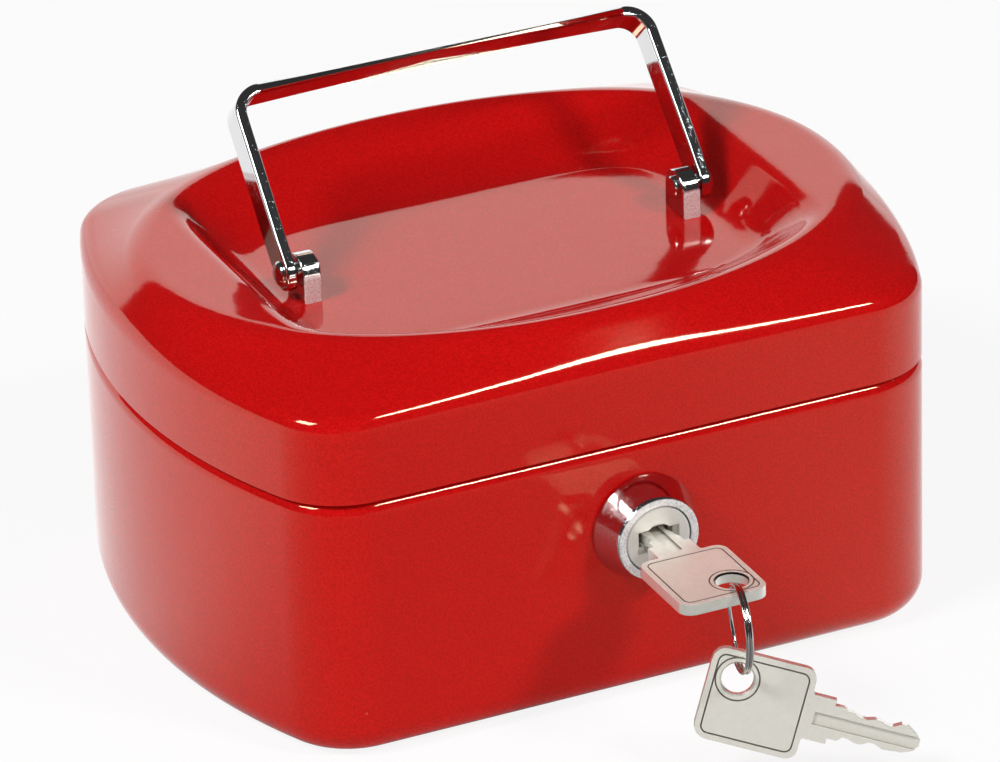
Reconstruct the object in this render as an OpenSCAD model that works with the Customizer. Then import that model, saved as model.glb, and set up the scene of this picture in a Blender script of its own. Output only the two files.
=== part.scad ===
// Small steel cash box with a recessed lid, a folding carrying handle,
// a wafer cam lock, two keys on a split ring and a removable coin tray.
// X runs along the front, -Y is the front with the lock, +Z is up.
// The origin is the middle of the base's underside.

/* [Box] */
// Overall length of the box along X, at the middle of the bowed ends
box_length = 152; // [130:1:200]
// Overall width of the box along Y
box_width = 115.2; // [100:0.2:150]
// Radius of the gently bowed short ends
end_bow_radius = 121; // [100:1:400]
// Radius of the four upright corners
corner_radius = 16.4; // [10:0.2:24]
// Thickness of the steel sheet
sheet = 0.9; // [0.6:0.05:1.5]
// Height of the rolled shoulder at the top of the base
base_height = 52.6; // [40:0.2:70]
// Radius of the bottom edge all round
bottom_radius = 6.2; // [3:0.2:9]
// Radius of the rolled shoulder of the base
shoulder_radius = 1.9; // [1.2:0.1:3]
// How far the inner upstand rises above the shoulder
upstand_height = 5.4; // [3:0.2:8]

/* [Lid] */
// Gap between the base's shoulder and the lid's lower edge
lid_gap = 0.4; // [0.2:0.05:1]
// Height of the lid's side from its lower edge to the shoulder's corner
lid_side = 16.3; // [12:0.1:24]
// Rise from the shoulder's corner to the top of the crest
crest_rise = 7.9; // [5:0.1:12]
// Distance of the oval crest from the ends of the box
crest_end_margin = 5.6; // [4:0.1:12]
// Distance of the oval crest from the long sides of the box
crest_side_margin = 7; // [5:0.1:12]
// Exponent of the oval crest, 2 is an ellipse
crest_exponent = 2.1; // [2:0.05:3]
// Distance from the crest in to the rim of the recess along the long sides
rim_width = 2.6; // [2:0.1:6]
// Distance of the straight ends of the recess from the ends of the box
recess_end_margin = 21.6; // [14:0.1:30]
// Depth of the recess below its rim
recess_depth = 9; // [6:0.1:12]
// Run of the recess wall at the ends, from the rim in to the floor
recess_end_run = 8.2; // [5:0.1:14]
// Run of the recess wall at the long sides, from the rim in to the floor
recess_side_run = 19; // [10:0.1:24]

/* [Handle] */
// Distance of each handle post's middle from the end of the box
post_end_margin = 36.3; // [33:0.1:44]
// Thickness of a post along X
post_thickness = 3.65; // [3:0.05:6]
// Width of a post along Y
post_width = 8.2; // [6:0.1:12]
// Height of a post's rounded top above the recess floor
post_height = 8.8; // [7:0.1:12]
// Height of the handle's pivot above the recess floor
pivot_height = 5.4; // [4.5:0.1:9]
// Distance from the pivot to the outer face of the grip bar
handle_reach = 36.8; // [30:0.2:42]
// Width of the flat handle bar
bar_width = 6.8; // [4:0.1:9]
// Thickness of the flat handle bar
bar_thickness = 2.3; // [1.5:0.1:3.5]
// Outer radius of the two bends of the handle
bend_radius = 6; // [4:0.2:10]
// Inward lean of each handle leg, in degrees
leg_lean = 0.8; // [0:0.1:8]
// Backward tilt of the handle from upright, in degrees
handle_tilt = 43; // [0:1:80]
// Radius of the handle pivot rivets
rivet_radius = 1.5; // [1:0.05:2]
// Radius of the tenon that fixes a post through the lid
tenon_radius = 1.6; // [1.2:0.05:1.8]

/* [Hinges] */
// Distance of each hinge's middle from the end of the box
hinge_end_margin = 36; // [32:0.5:46]
// Width of each hinge along X
hinge_width = 26; // [18:0.5:32]
// Width of the lid leaf's middle knuckle
middle_knuckle = 11.6; // [6:0.1:16]
// Outer radius of the hinge knuckles
knuckle_radius = 1.8; // [1.5:0.05:2.1]
// Radius of the hinge pin
hinge_pin_radius = 0.9; // [0.7:0.05:1.1]
// Thickness of the hinge leaves
leaf_thickness = 0.9; // [0.6:0.05:1.1]
// Height of each hinge leaf above or below the hinge axis
leaf_height = 11.5; // [8:0.5:14]

/* [Lock] */
// Distance of the lock's axis from the middle of the front
lock_x = 2.2; // [-6:0.1:6]
// Height of the lock's axis above the table
lock_z = 35.3; // [30:0.1:38]
// Radius of the lock bezel where it meets the box
bezel_base_radius = 10.5; // [10:0.1:12]
// Radius of the ring at the front of the bezel
bezel_face_radius = 8.2; // [7.8:0.1:9]
// How far the bezel stands out of the box
bezel_depth = 7; // [4:0.1:10]
// Radius of the lock body behind the front wall
lock_body_radius = 8; // [7.6:0.1:9]
// Length of the lock body behind the outer face of the front wall
lock_body_length = 11.6; // [10:0.1:16]
// Radius of the turning plug
plug_radius = 6.55; // [6.3:0.05:7]
// Width of the keyway across the plug
keyway_width = 7; // [6.8:0.1:7.4]
// Height of the keyway
keyway_height = 2.8; // [2.6:0.1:3]
// Number of wafer tumblers
wafer_count = 4; // [3:1:5]
// Reach of the cam from the lock's axis
cam_reach = 15; // [13:0.5:18]
// Width of the cam
cam_width = 8; // [6:0.5:9]
// Thickness of the cam
cam_thickness = 1.5; // [1:0.1:2]
// Width across the flats of the lock nut
nut_flats = 20; // [19:0.5:22]
// Thickness of the lock nut
nut_thickness = 3; // [2:0.1:4]
// Width of the lid catch's tongue
catch_width = 10; // [8:0.5:12]
// Thickness of the lid catch
catch_thickness = 1.2; // [1:0.1:1.6]

/* [Keys] */
// Thickness of the keys
key_thickness = 2.2; // [1.8:0.1:2.4]
// Width of the key bow
bow_width = 17.7; // [14:0.1:22]
// Length of the key bow
bow_length = 19.6; // [14:0.1:24]
// Corner radius of the key bow
bow_corner = 2.6; // [1:0.1:4]
// Width of the key's shank
shank_width = 8.6; // [7.5:0.1:10]
// Length of the key's shank
shank_length = 4.8; // [3:0.1:7]
// Width of the key blade
blade_width = 6.4; // [5.6:0.1:6.6]
// Length of the key blade
blade_length = 16.6; // [14:0.1:17]
// Radius of the hole in the key bow
key_hole_radius = 3; // [2.6:0.1:3.4]
// Distance of the key hole's centre from the bow's side edge
hole_side_margin = 5.25; // [5:0.05:6]
// Distance of the key hole's centre from the bow's outer edge
hole_end_margin = 5.5; // [5:0.05:6]
// How far the shank stands off the plug's face
key_standoff = 3.9; // [3.2:0.1:6]
// Radius of each wire of the split ring
ring_wire_radius = 0.38; // [0.3:0.02:0.6]
// Radius of the split ring at the middle of its wire
ring_radius = 8.1; // [8:0.1:9]

/* [Coin tray] */
// Gap between the tray's body and the base's upstand
tray_gap = 0.6; // [0.4:0.1:2]
// Thickness of the tray's walls
tray_wall = 1.4; // [1:0.1:2]
// Thickness of the tray's floor and flange
tray_floor = 1.5; // [1:0.1:2]
// Depth of the tray below its flange
tray_depth = 27; // [18:0.5:32]

/* [Hidden] */
half_length = box_length / 2;
half_width = box_width / 2;

// plan outline: bowed end arc, corner arc and half a long side per quarter
end_steps = 6;
corner_steps = 8;
side_steps = 10;
quarter_steps = end_steps + corner_steps + side_steps;
ring_count = 4 * quarter_steps;
end_centre_x = half_length - end_bow_radius;
corner_y = half_width - corner_radius;
end_half_angle = asin(corner_y / (end_bow_radius - corner_radius));
corner_x = end_centre_x + (end_bow_radius - corner_radius) * cos(end_half_angle);

// levels
upstand_top = base_height + upstand_height;
upstand_inset = shoulder_radius;
lid_bottom = base_height + lid_gap;
lid_corner_z = lid_bottom + lid_side;
crest_z = lid_corner_z + crest_rise;
rim_drop = 0.3;
rim_z = crest_z - rim_drop;
floor_z = rim_z - recess_depth;
lid_shoulder_round = 2.8;
crest_round = 3.2;
rim_round = 3;
floor_round = 4;
floor_exponent = 5;
rim_sharpness = 24;
bend_share = 0.46;
round_steps = 4;

// small clearances
seat_gap = 0.03;
weld_gap = 0.05;
run_gap = 0.05;
side_gap = 0.15;

// handle
pivot_z = floor_z + pivot_height;
post_x = half_length - post_end_margin;
post_outer_x = post_x + post_thickness / 2;
leg_gap = 0.7;
leg_inner_x = post_outer_x + leg_gap;
leg_outer_x = leg_inner_x + bar_thickness;
leg_straight = post_width / 2 + 2;
rivet_head_radius = rivet_radius + 1;
rivet_head_height = 1.2;
rivet_tail_height = 0.7;
washer_radius = tenon_radius + 2.4;
washer_thickness = 1;
peen_height = 0.9;
tenon_length = sheet + washer_thickness + 2 * seat_gap;

// hinges
hinge_offset = half_length - hinge_end_margin;
axis_standoff = knuckle_radius + 0.35;
hinge_y = half_width + axis_standoff;
hinge_z = lid_bottom + 0.2;
leaf_face = 0.1;
leaf_overlap = 0.8;
knuckle_clear = knuckle_radius + 0.5;
pin_head_radius = hinge_pin_radius + 0.5;
pin_head_thickness = 0.4;

// lock
front_y = -half_width;
bezel_face_y = front_y - bezel_depth;
plug_face_y = bezel_face_y + 0.25;
body_end_y = front_y + lock_body_length;
plug_end_y = body_end_y + 0.3;
plug_bore_radius = plug_radius + run_gap;
tail_size = 6;
tail_gap = 0.05;
cam_y = plug_end_y + seat_gap;
tail_end_y = cam_y + cam_thickness - 0.1;
screw_head_y = cam_y + cam_thickness + seat_gap;
screw_radius = 1.5;
screw_head_radius = 4.4;
screw_head_height = 1.3;
screw_length = 3.4;
screw_bore_y = screw_head_y - screw_length - 0.3;
keyway_end_y = screw_bore_y - 0.3;
keyway_mouth = 1.3;
throat_radius = 3.1;
throat_depth = 2.6;
wafer_thickness = 0.7;
wafer_pitch = 2.9;
wafer_first_y = plug_face_y + 3.2;
wafer_height = 6.2;
wafer_half_span = sqrt(pow(plug_radius - 0.1, 2) - pow(wafer_height / 2, 2));
wafer_window_gap = 0.1;
nut_front_y = front_y + sheet + seat_gap;
catch_x = lock_x + lock_body_radius + 1 + catch_width / 2;
catch_y = cam_y - catch_thickness - 0.5;
catch_lip_gap = 0.35;
catch_lip_top = lock_z - cam_width / 2 - catch_lip_gap;
catch_bridge_z = upstand_top + 0.9;
catch_plate_height = 6.4;
catch_plate_width = 1.5 * catch_width;
catch_lip_y = catch_y + catch_thickness + cam_thickness + 2.6;
notch_clearance = 1;
notch_half_width = catch_x + catch_plate_width / 2 - lock_x + notch_clearance;
notch_y = catch_lip_y + 2.5 * notch_clearance;

// keys
shoulder_y = plug_face_y - key_standoff;
hole_x = bow_width / 2 - hole_side_margin;
hole_y = -shank_length - bow_length + hole_end_margin;
groove_depth = 0.5;
groove_width = 2.4;
top_cuts = [0.5, 1.1, 0.7, 1.2, 0.3];
bottom_cuts = [0.9, 0.4, 1.2, 0.6, 0.8];
ring_turn = 13.4;
ring_pitch = 2 * ring_wire_radius - 0.05;
ring_clear = 0.12;
ring_inner = ring_radius - ring_wire_radius;
// the ring hangs over the rim between the hole of the first key and its edge
rim_centre_y = shoulder_y + hole_y - key_hole_radius - 2.3;
ring_x = lock_x + hole_x - 1.15;
ring_top_run = 2.4;
ring_z = lock_z + key_thickness / 2 + ring_clear
    - sqrt(pow(ring_inner, 2) - pow(ring_top_run, 2));
ring_y = rim_centre_y;
// the spare key hangs on the lowest point of the ring
hang_side = 0.6;
hang_drop = key_hole_radius - ring_wire_radius - 0.75;
spare_lean = 13;
spare_turn = -24.3;
spare_roll = 16.4;

// coin tray
tray_inset = upstand_inset + sheet + tray_gap;
flange_inset = upstand_inset + 0.15;
tray_top = upstand_top + seat_gap + tray_floor;
tray_bottom = upstand_top - tray_depth;
middle_wall_x = 25;

$fn = 64;

// ---- plan outline -------------------------------------------------------

// one quarter of the outline as [x, y, normal x, normal y]
outline_quarter = concat(
    [for (k = [0 : end_steps - 1])
        let (a = end_half_angle * k / end_steps)
        [end_centre_x + end_bow_radius * cos(a), end_bow_radius * sin(a), cos(a), sin(a)]],
    [for (k = [0 : corner_steps - 1])
        let (a = end_half_angle + (90 - end_half_angle) * k / corner_steps)
        [corner_x + corner_radius * cos(a), corner_y + corner_radius * sin(a), cos(a), sin(a)]],
    [for (k = [0 : side_steps]) [corner_x * (1 - k / side_steps), half_width, 0, 1]]
);

function mirrored(p, sx, sy) = [p[0] * sx, p[1] * sy, p[2] * sx, p[3] * sy];

outline_full = [for (i = [0 : ring_count - 1])
    i <= quarter_steps ? outline_quarter[i]
    : i <= 2 * quarter_steps ? mirrored(outline_quarter[2 * quarter_steps - i], -1, 1)
    : i <= 3 * quarter_steps ? mirrored(outline_quarter[i - 2 * quarter_steps], -1, -1)
    : mirrored(outline_quarter[4 * quarter_steps - i], 1, -1)];

// a point of the outline, moved in by inset
function edge_point(i, inset) =
    [outline_full[i][0] - inset * outline_full[i][2], outline_full[i][1] - inset * outline_full[i][3]];

function edge_angle(i) = atan2(outline_full[i][1], outline_full[i][0]);

module outline_plate(inset, low, high) {
    translate([0, 0, low])
        linear_extrude(height = high - low)
            polygon([for (i = [0 : ring_count - 1]) edge_point(i, inset)]);
}

// ---- skins made of stacked rings ---------------------------------------

// a closed solid from a list of rings, with flat caps on the first and last
module ring_solid(rings) {
    ring_total = len(rings);
    points = [for (ring = rings) each ring];
    sides = [for (r = [0 : ring_total - 2]) for (i = [0 : ring_count - 1])
        let (
            j = (i + 1) % ring_count,
            a = r * ring_count + i,
            b = r * ring_count + j,
            c = (r + 1) * ring_count + j,
            d = (r + 1) * ring_count + i
        )
        each [[a, c, b], [a, d, c]]];
    first_cap = [[for (i = [0 : ring_count - 1]) i]];
    last_cap = [[for (i = [ring_count - 1 : -1 : 0]) (ring_total - 1) * ring_count + i]];
    polyhedron(points = points, faces = concat(sides, first_cap, last_cap), convexity = 6);
}

function inset_ring(inset, z) =
    [for (i = [0 : ring_count - 1]) [edge_point(i, inset)[0], edge_point(i, inset)[1], z]];

// quarter arc between two levels as rings: the angle runs from a0 to a1
function arc_rings(centre_inset, centre_z, radius, a0, a1, steps) =
    [for (k = [0 : steps])
        let (a = a0 + (a1 - a0) * k / steps)
        inset_ring(centre_inset - radius * cos(a), centre_z + radius * sin(a))];

// ---- base ---------------------------------------------------------------

base_rings = concat(
    arc_rings(bottom_radius, bottom_radius - 0.001, bottom_radius, -90, 0, 6),
    arc_rings(shoulder_radius, base_height - shoulder_radius, shoulder_radius, 0, 90, 5),
    [inset_ring(upstand_inset, upstand_top), inset_ring(upstand_inset + sheet, upstand_top)],
    [inset_ring(upstand_inset + sheet, base_height - sheet)],
    arc_rings(shoulder_radius, base_height - shoulder_radius, shoulder_radius - sheet, 90, 0, 3),
    arc_rings(bottom_radius, bottom_radius, bottom_radius - sheet, 0, -90, 5)
);

module base_shell() {
    color([0.72, 0.05, 0.06])
    difference() {
        ring_solid(base_rings);
        translate([lock_x, front_y - 2, lock_z])
            rotate([-90, 0, 0])
                cylinder(r = lock_body_radius + run_gap, h = sheet + 4);
    }
}

// ---- lid ----------------------------------------------------------------

function oval_radius(angle, rx, ry, n) =
    1 / pow(pow(abs(cos(angle)) / rx, n) + pow(abs(sin(angle)) / ry, n), 1 / n);

// the rim is the oval, cut off by straight ends and blended into them
function rim_radius(angle, rx, ry, end_x) =
    let (oval = oval_radius(angle, rx, ry, crest_exponent))
    pow(pow(oval, -rim_sharpness) + pow(abs(cos(angle)) / end_x, rim_sharpness), -1 / rim_sharpness);

function polar(angle, radius, z) = [radius * cos(angle), radius * sin(angle), z];

// a rounded corner of a broken line, as points along a parabola
function corner_points(before, at, after, trim) =
    let (
        to_before = before - at,
        to_after = after - at,
        start = at + to_before * min(bend_share, trim / norm(to_before)),
        finish = at + to_after * min(bend_share, trim / norm(to_after))
    )
    [for (k = [0 : round_steps])
        let (u = k / round_steps)
        start * (1 - u) * (1 - u) + at * 2 * u * (1 - u) + finish * u * u];

// the control points of the lid's section at outline point i;
// under is 0 for the outer skin and the sheet thickness for the inner one
function lid_controls(i, under) =
    let (
        a = edge_angle(i),
        edge = edge_point(i, under),
        slant = 0.4 * under,
        crest = oval_radius(a, half_length - crest_end_margin - slant,
            half_width - crest_side_margin - slant, crest_exponent),
        rim = rim_radius(a, half_length - crest_end_margin - rim_width + slant / 2,
            half_width - crest_side_margin - rim_width + slant / 2,
            half_length - recess_end_margin + slant / 2),
        floor_r = oval_radius(a, half_length - recess_end_margin - recess_end_run + slant / 2,
            half_width - crest_side_margin - rim_width - recess_side_run + slant / 2,
            floor_exponent)
    )
    [
        [edge[0], edge[1], lid_bottom],
        [edge[0], edge[1], lid_corner_z - slant],
        polar(a, crest, crest_z - under),
        polar(a, rim, rim_z - under),
        polar(a, floor_r, floor_z - under),
        [0, 0, floor_z - under]
    ];

// the section from the lower edge up over the crest and down to the floor
function lid_section(i, under) =
    let (c = lid_controls(i, under))
    concat(
        [c[0]],
        corner_points(c[0], c[1], c[2], lid_shoulder_round),
        corner_points(c[1], c[2], c[3], crest_round),
        corner_points(c[2], c[3], c[4], rim_round),
        corner_points(c[3], c[4], c[5], floor_round)
    );

lid_outer = [for (i = [0 : ring_count - 1]) lid_section(i, 0)];
lid_inner = [for (i = [0 : ring_count - 1]) lid_section(i, sheet)];
section_last = len(lid_outer[0]) - 1;

lid_rings = concat(
    [for (k = [0 : section_last]) [for (i = [0 : ring_count - 1]) lid_inner[i][section_last - k]]],
    [for (k = [0 : section_last]) [for (i = [0 : ring_count - 1]) lid_outer[i][k]]]
);

module lid_shell() {
    color([0.74, 0.05, 0.06])
    difference() {
        ring_solid(lid_rings);
        for (side = [-1, 1])
            translate([side * post_x, 0, floor_z - sheet - 2])
                cylinder(r = tenon_radius + run_gap, h = sheet + 4);
    }
}

// ---- hinges -------------------------------------------------------------

module along_x(length, radius) {
    translate([-length / 2, 0, 0])
        rotate([0, 90, 0])
            cylinder(r = radius, h = length);
}

outer_knuckle = (hinge_width - middle_knuckle) / 2 - side_gap;

// the base leaf: a plate on the rear wall and the two outer knuckles
module hinge_base_leaf(side) {
    color([0.70, 0.05, 0.06])
    translate([side * hinge_offset, hinge_y, hinge_z])
    difference() {
        union() {
            translate([-hinge_width / 2, leaf_face - axis_standoff, -leaf_height])
                cube([hinge_width, leaf_thickness, leaf_height - knuckle_clear]);
            for (end = [-1, 1]) {
                translate([end * (hinge_width - outer_knuckle) / 2, 0, 0])
                    along_x(outer_knuckle, knuckle_radius);
                translate([end * (hinge_width - outer_knuckle) / 2 - outer_knuckle / 2,
                        leaf_face - axis_standoff, -leaf_height])
                    cube([outer_knuckle, leaf_thickness, leaf_height - leaf_overlap]);
            }
        }
        along_x(hinge_width + 2, hinge_pin_radius + run_gap);
    }
}

// the lid leaf: a plate on the lid's rear side and the middle knuckle
module hinge_lid_leaf(side) {
    color([0.70, 0.05, 0.06])
    translate([side * hinge_offset, hinge_y, hinge_z])
    difference() {
        union() {
            translate([-hinge_width / 2, leaf_face - axis_standoff, knuckle_clear])
                cube([hinge_width, leaf_thickness, leaf_height - knuckle_clear]);
            along_x(middle_knuckle, knuckle_radius);
            translate([-middle_knuckle / 2, leaf_face - axis_standoff, leaf_overlap])
                cube([middle_knuckle, leaf_thickness, leaf_height - leaf_overlap]);
        }
        along_x(hinge_width + 2, hinge_pin_radius + run_gap);
    }
}

module hinge_pin(side) {
    color([0.66, 0.66, 0.68])
    translate([side * hinge_offset, hinge_y, hinge_z])
    union() {
        along_x(hinge_width + 2 * seat_gap + pin_head_thickness, hinge_pin_radius);
        for (end = [-1, 1])
            translate([end * (hinge_width / 2 + seat_gap + pin_head_thickness / 2), 0, 0])
                along_x(pin_head_thickness, pin_head_radius);
    }
}

// ---- handle -------------------------------------------------------------

// half of the handle's outline in its own plane: x outwards, y up from the
// pivot; offset 0 is the outer face and bar_thickness the inner face
function handle_half(inside) =
    let (
        radius = bend_radius - inside,
        start_x = leg_outer_x - inside,
        centre_y = handle_reach - bend_radius,
        centre_x = leg_outer_x - (centre_y - leg_straight) * tan(leg_lean)
            - bend_radius / cos(leg_lean)
    )
    concat(
        [[start_x, 0], [start_x, leg_straight]],
        [for (k = [0 : 8])
            let (a = leg_lean + (90 - leg_lean) * k / 8)
            [centre_x + radius * cos(a), centre_y + radius * sin(a)]]
    );

module handle_profile() {
    outer = handle_half(0);
    inner = handle_half(bar_thickness);
    polygon(concat(
        outer,
        [for (k = [len(outer) - 1 : -1 : 0]) [-outer[k][0], outer[k][1]]],
        [for (k = [0 : len(inner) - 1]) [-inner[k][0], inner[k][1]]],
        [for (k = [len(inner) - 1 : -1 : 0]) inner[k]]
    ));
}

module handle() {
    color([0.80, 0.80, 0.82])
    translate([0, 0, pivot_z])
    rotate([-handle_tilt, 0, 0])
    difference() {
        union() {
            translate([0, bar_width / 2, 0])
                rotate([90, 0, 0])
                    linear_extrude(height = bar_width)
                        handle_profile();
            for (side = [-1, 1])
                translate([side * (leg_inner_x + leg_outer_x) / 2, 0, 0])
                    along_x(bar_thickness, bar_width / 2);
        }
        for (side = [-1, 1])
            translate([side * (leg_inner_x + leg_outer_x) / 2, 0, 0])
                along_x(bar_thickness + 2, rivet_radius + run_gap);
    }
}

module handle_post(side) {
    color([0.80, 0.80, 0.82])
    translate([side * post_x, 0, floor_z])
    difference() {
        union() {
            translate([-post_thickness / 2, -post_width / 2, seat_gap])
                cube([post_thickness, post_width, post_height - post_width / 2 - seat_gap]);
            translate([0, 0, post_height - post_width / 2])
                along_x(post_thickness, post_width / 2);
            translate([0, 0, -tenon_length])
                cylinder(r = tenon_radius, h = tenon_length + 0.5);
            translate([0, 0, -tenon_length - peen_height])
                cylinder(r = tenon_radius + 0.8, h = peen_height);
        }
        translate([0, 0, pivot_height])
            along_x(post_thickness + 2, rivet_radius + run_gap);
    }
}

module post_washer(side) {
    color([0.70, 0.70, 0.72])
    translate([side * post_x, 0, floor_z - sheet - seat_gap - washer_thickness])
    difference() {
        cylinder(r = washer_radius, h = washer_thickness);
        translate([0, 0, -1])
            cylinder(r = tenon_radius + run_gap, h = washer_thickness + 2);
    }
}

// the pivot rivet: a domed head outside the leg and a small head inside
module handle_rivet(side) {
    head_x = leg_outer_x + seat_gap;
    tail_x = post_x - post_thickness / 2 - seat_gap;
    color([0.78, 0.78, 0.80])
    translate([0, 0, pivot_z])
    mirror([side < 0 ? 1 : 0, 0, 0])
    rotate([0, 90, 0])
    rotate_extrude()
    polygon(concat(
        [
            [0, tail_x - rivet_tail_height],
            [rivet_radius + 0.7, tail_x - rivet_tail_height],
            [rivet_radius + 0.7, tail_x],
            [rivet_radius, tail_x],
            [rivet_radius, head_x]
        ],
        [for (a = [0 : 15 : 75])
            [rivet_head_radius * cos(a), head_x + rivet_head_height * sin(a)]],
        [[0, head_x + rivet_head_height]]
    ));
}

// ---- lock ---------------------------------------------------------------

// a cylinder along +Y from y0 to y1 on the lock's axis
module lock_barrel(y0, y1, radius) {
    translate([lock_x, y0, lock_z])
        rotate([-90, 0, 0])
            cylinder(r = radius, h = y1 - y0);
}

module lock_housing() {
    color([0.80, 0.80, 0.82])
    difference() {
        union() {
            translate([lock_x, front_y - seat_gap, lock_z])
                rotate([90, 0, 0])
                    rotate_extrude()
                        polygon([
                            [0, 0],
                            [bezel_base_radius, 0],
                            [bezel_base_radius, 0.8],
                            [bezel_face_radius + 0.25, bezel_depth - 0.5],
                            [bezel_face_radius - 0.25, bezel_depth - seat_gap],
                            [0, bezel_depth - seat_gap]
                        ]);
            lock_barrel(front_y - 1, body_end_y, lock_body_radius);
        }
        lock_barrel(bezel_face_y - 1, body_end_y + 1, plug_bore_radius);
    }
}

module lock_nut() {
    color([0.70, 0.68, 0.62])
    difference() {
        translate([lock_x, nut_front_y, lock_z])
            rotate([-90, 0, 0])
                cylinder(r = nut_flats / 2 / cos(30), h = nut_thickness, $fn = 6);
        lock_barrel(nut_front_y - 1, nut_front_y + nut_thickness + 1, lock_body_radius + run_gap);
    }
}

function wafer_y(k) = wafer_first_y + wafer_pitch * (k - 1);

module lock_plug() {
    color([0.76, 0.76, 0.77])
    difference() {
        union() {
            lock_barrel(plug_face_y, plug_end_y, plug_radius);
            translate([lock_x - tail_size / 2, plug_end_y - 0.5, lock_z - tail_size / 2])
                cube([tail_size, tail_end_y - plug_end_y + 0.5, tail_size]);
        }
        translate([lock_x - keyway_width / 2, plug_face_y - 1, lock_z - keyway_height / 2])
            cube([keyway_width, keyway_end_y - plug_face_y + 1, keyway_height]);
        translate([lock_x - keyway_width / 2 - 0.8, plug_face_y - 1, lock_z - keyway_height / 2 - 0.9])
            cube([keyway_width + 1.6, keyway_mouth + 1, keyway_height + 1.8]);
        lock_barrel(plug_face_y - 1, plug_face_y + throat_depth, throat_radius);
        for (k = [1 : wafer_count])
            translate([lock_x - plug_radius - 1, wafer_y(k) - run_gap, lock_z - wafer_height / 2 - run_gap])
                cube([2 * plug_radius + 2, wafer_thickness + 2 * run_gap, wafer_height + 2 * run_gap]);
        lock_barrel(screw_bore_y, tail_end_y + 1, screw_radius + run_gap);
    }
}

module lock_wafer(k) {
    color([0.78, 0.66, 0.36])
    translate([lock_x, wafer_y(k), lock_z])
    difference() {
        translate([-wafer_half_span, 0, -wafer_height / 2])
            cube([2 * wafer_half_span, wafer_thickness, wafer_height]);
        translate([-keyway_width / 2 + wafer_window_gap, -1, -keyway_height / 2 + wafer_window_gap])
            cube([keyway_width - 2 * wafer_window_gap, wafer_thickness + 2,
                keyway_height - 2 * wafer_window_gap]);
    }
}

// the cam points up while the box is unlocked
module lock_cam() {
    color([0.68, 0.68, 0.70])
    difference() {
        union() {
            lock_barrel(cam_y, cam_y + cam_thickness, cam_width / 2 + 1.6);
            translate([lock_x - cam_width / 2, cam_y, lock_z])
                cube([cam_width, cam_thickness, cam_reach - cam_width / 2]);
            translate([0, 0, cam_reach - cam_width / 2])
                lock_barrel(cam_y, cam_y + cam_thickness, cam_width / 2);
        }
        translate([lock_x - tail_size / 2 - tail_gap, cam_y - 1, lock_z - tail_size / 2 - tail_gap])
            cube([tail_size + 2 * tail_gap, cam_thickness + 2, tail_size + 2 * tail_gap]);
    }
}

module lock_cam_screw() {
    color([0.70, 0.70, 0.72])
    difference() {
        union() {
            lock_barrel(screw_head_y, screw_head_y + screw_head_height, screw_head_radius);
            lock_barrel(screw_head_y - screw_length, screw_head_y + 0.5, screw_radius);
        }
        for (turn = [0, 90])
            translate([lock_x, screw_head_y + screw_head_height, lock_z])
                rotate([0, turn, 0])
                    cube([4.4, 1.2, 0.9], center = true);
    }
}

// the catch hangs from the lid's front side, steps over the base's upstand
// and ends in a lip that the cam turns over
module lid_catch() {
    wall_y = front_y + sheet + weld_gap;
    color([0.70, 0.05, 0.06])
    union() {
        translate([catch_x - catch_plate_width / 2, wall_y, catch_bridge_z])
            cube([catch_plate_width, catch_thickness, catch_plate_height]);
        translate([catch_x - catch_width / 2 - 1.5, wall_y, catch_bridge_z])
            cube([catch_width + 3, catch_y + catch_thickness - wall_y, catch_thickness]);
        translate([catch_x - catch_width / 2, catch_y, catch_lip_top - catch_thickness])
            cube([catch_width, catch_thickness, catch_bridge_z + catch_thickness
                - catch_lip_top + catch_thickness]);
        translate([catch_x - catch_width / 2, catch_y, catch_lip_top - catch_thickness])
            cube([catch_width, catch_lip_y - catch_y, catch_thickness]);
    }
}

// ---- keys ---------------------------------------------------------------

// one edge of the blade, from the shank to the tip, stepped by its cuts
function blade_edge(cuts, side) =
    let (step = (blade_length - 4) / len(cuts))
    concat(
        [[side * blade_width / 2, -0.5], [side * blade_width / 2, 1.6]],
        [for (k = [0 : len(cuts) - 1])
            each [
                [side * (blade_width / 2 - cuts[k]), 1.6 + step * (k + 0.35)],
                [side * (blade_width / 2 - cuts[k]), 1.6 + step * (k + 0.75)]
            ]],
        [[side * blade_width / 4, blade_length - 1], [side * 0.6, blade_length]]
    );

// a flat key: the blade points to +Y, the shank starts at y = 0 and the
// bow lies at -Y with its ring hole towards +X
module key_body() {
    difference() {
        translate([0, 0, -key_thickness / 2])
        linear_extrude(height = key_thickness)
        difference() {
            union() {
                hull()
                    for (sx = [-1, 1])
                        for (y = [-shank_length - bow_corner, -shank_length - bow_length + bow_corner])
                            translate([sx * (bow_width / 2 - bow_corner), y])
                                circle(r = bow_corner, $fn = 32);
                translate([-shank_width / 2, -shank_length - 1])
                    square([shank_width, shank_length + 1]);
                polygon(concat(
                    blade_edge(top_cuts, 1),
                    [for (k = [2 * len(bottom_cuts) + 3 : -1 : 0]) blade_edge(bottom_cuts, -1)[k]]
                ));
            }
            translate([hole_x, hole_y])
                circle(r = key_hole_radius);
        }
        for (face = [-1, 1])
            translate([-groove_width / 2, -shank_length + 1.2,
                    face > 0 ? key_thickness / 2 - groove_depth : -key_thickness / 2 - 1])
                cube([groove_width, blade_length + shank_length, groove_depth + 1]);
    }
}

module key_in_lock() {
    color([0.78, 0.76, 0.71])
    translate([lock_x, shoulder_y, lock_z])
        key_body();
}

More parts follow.
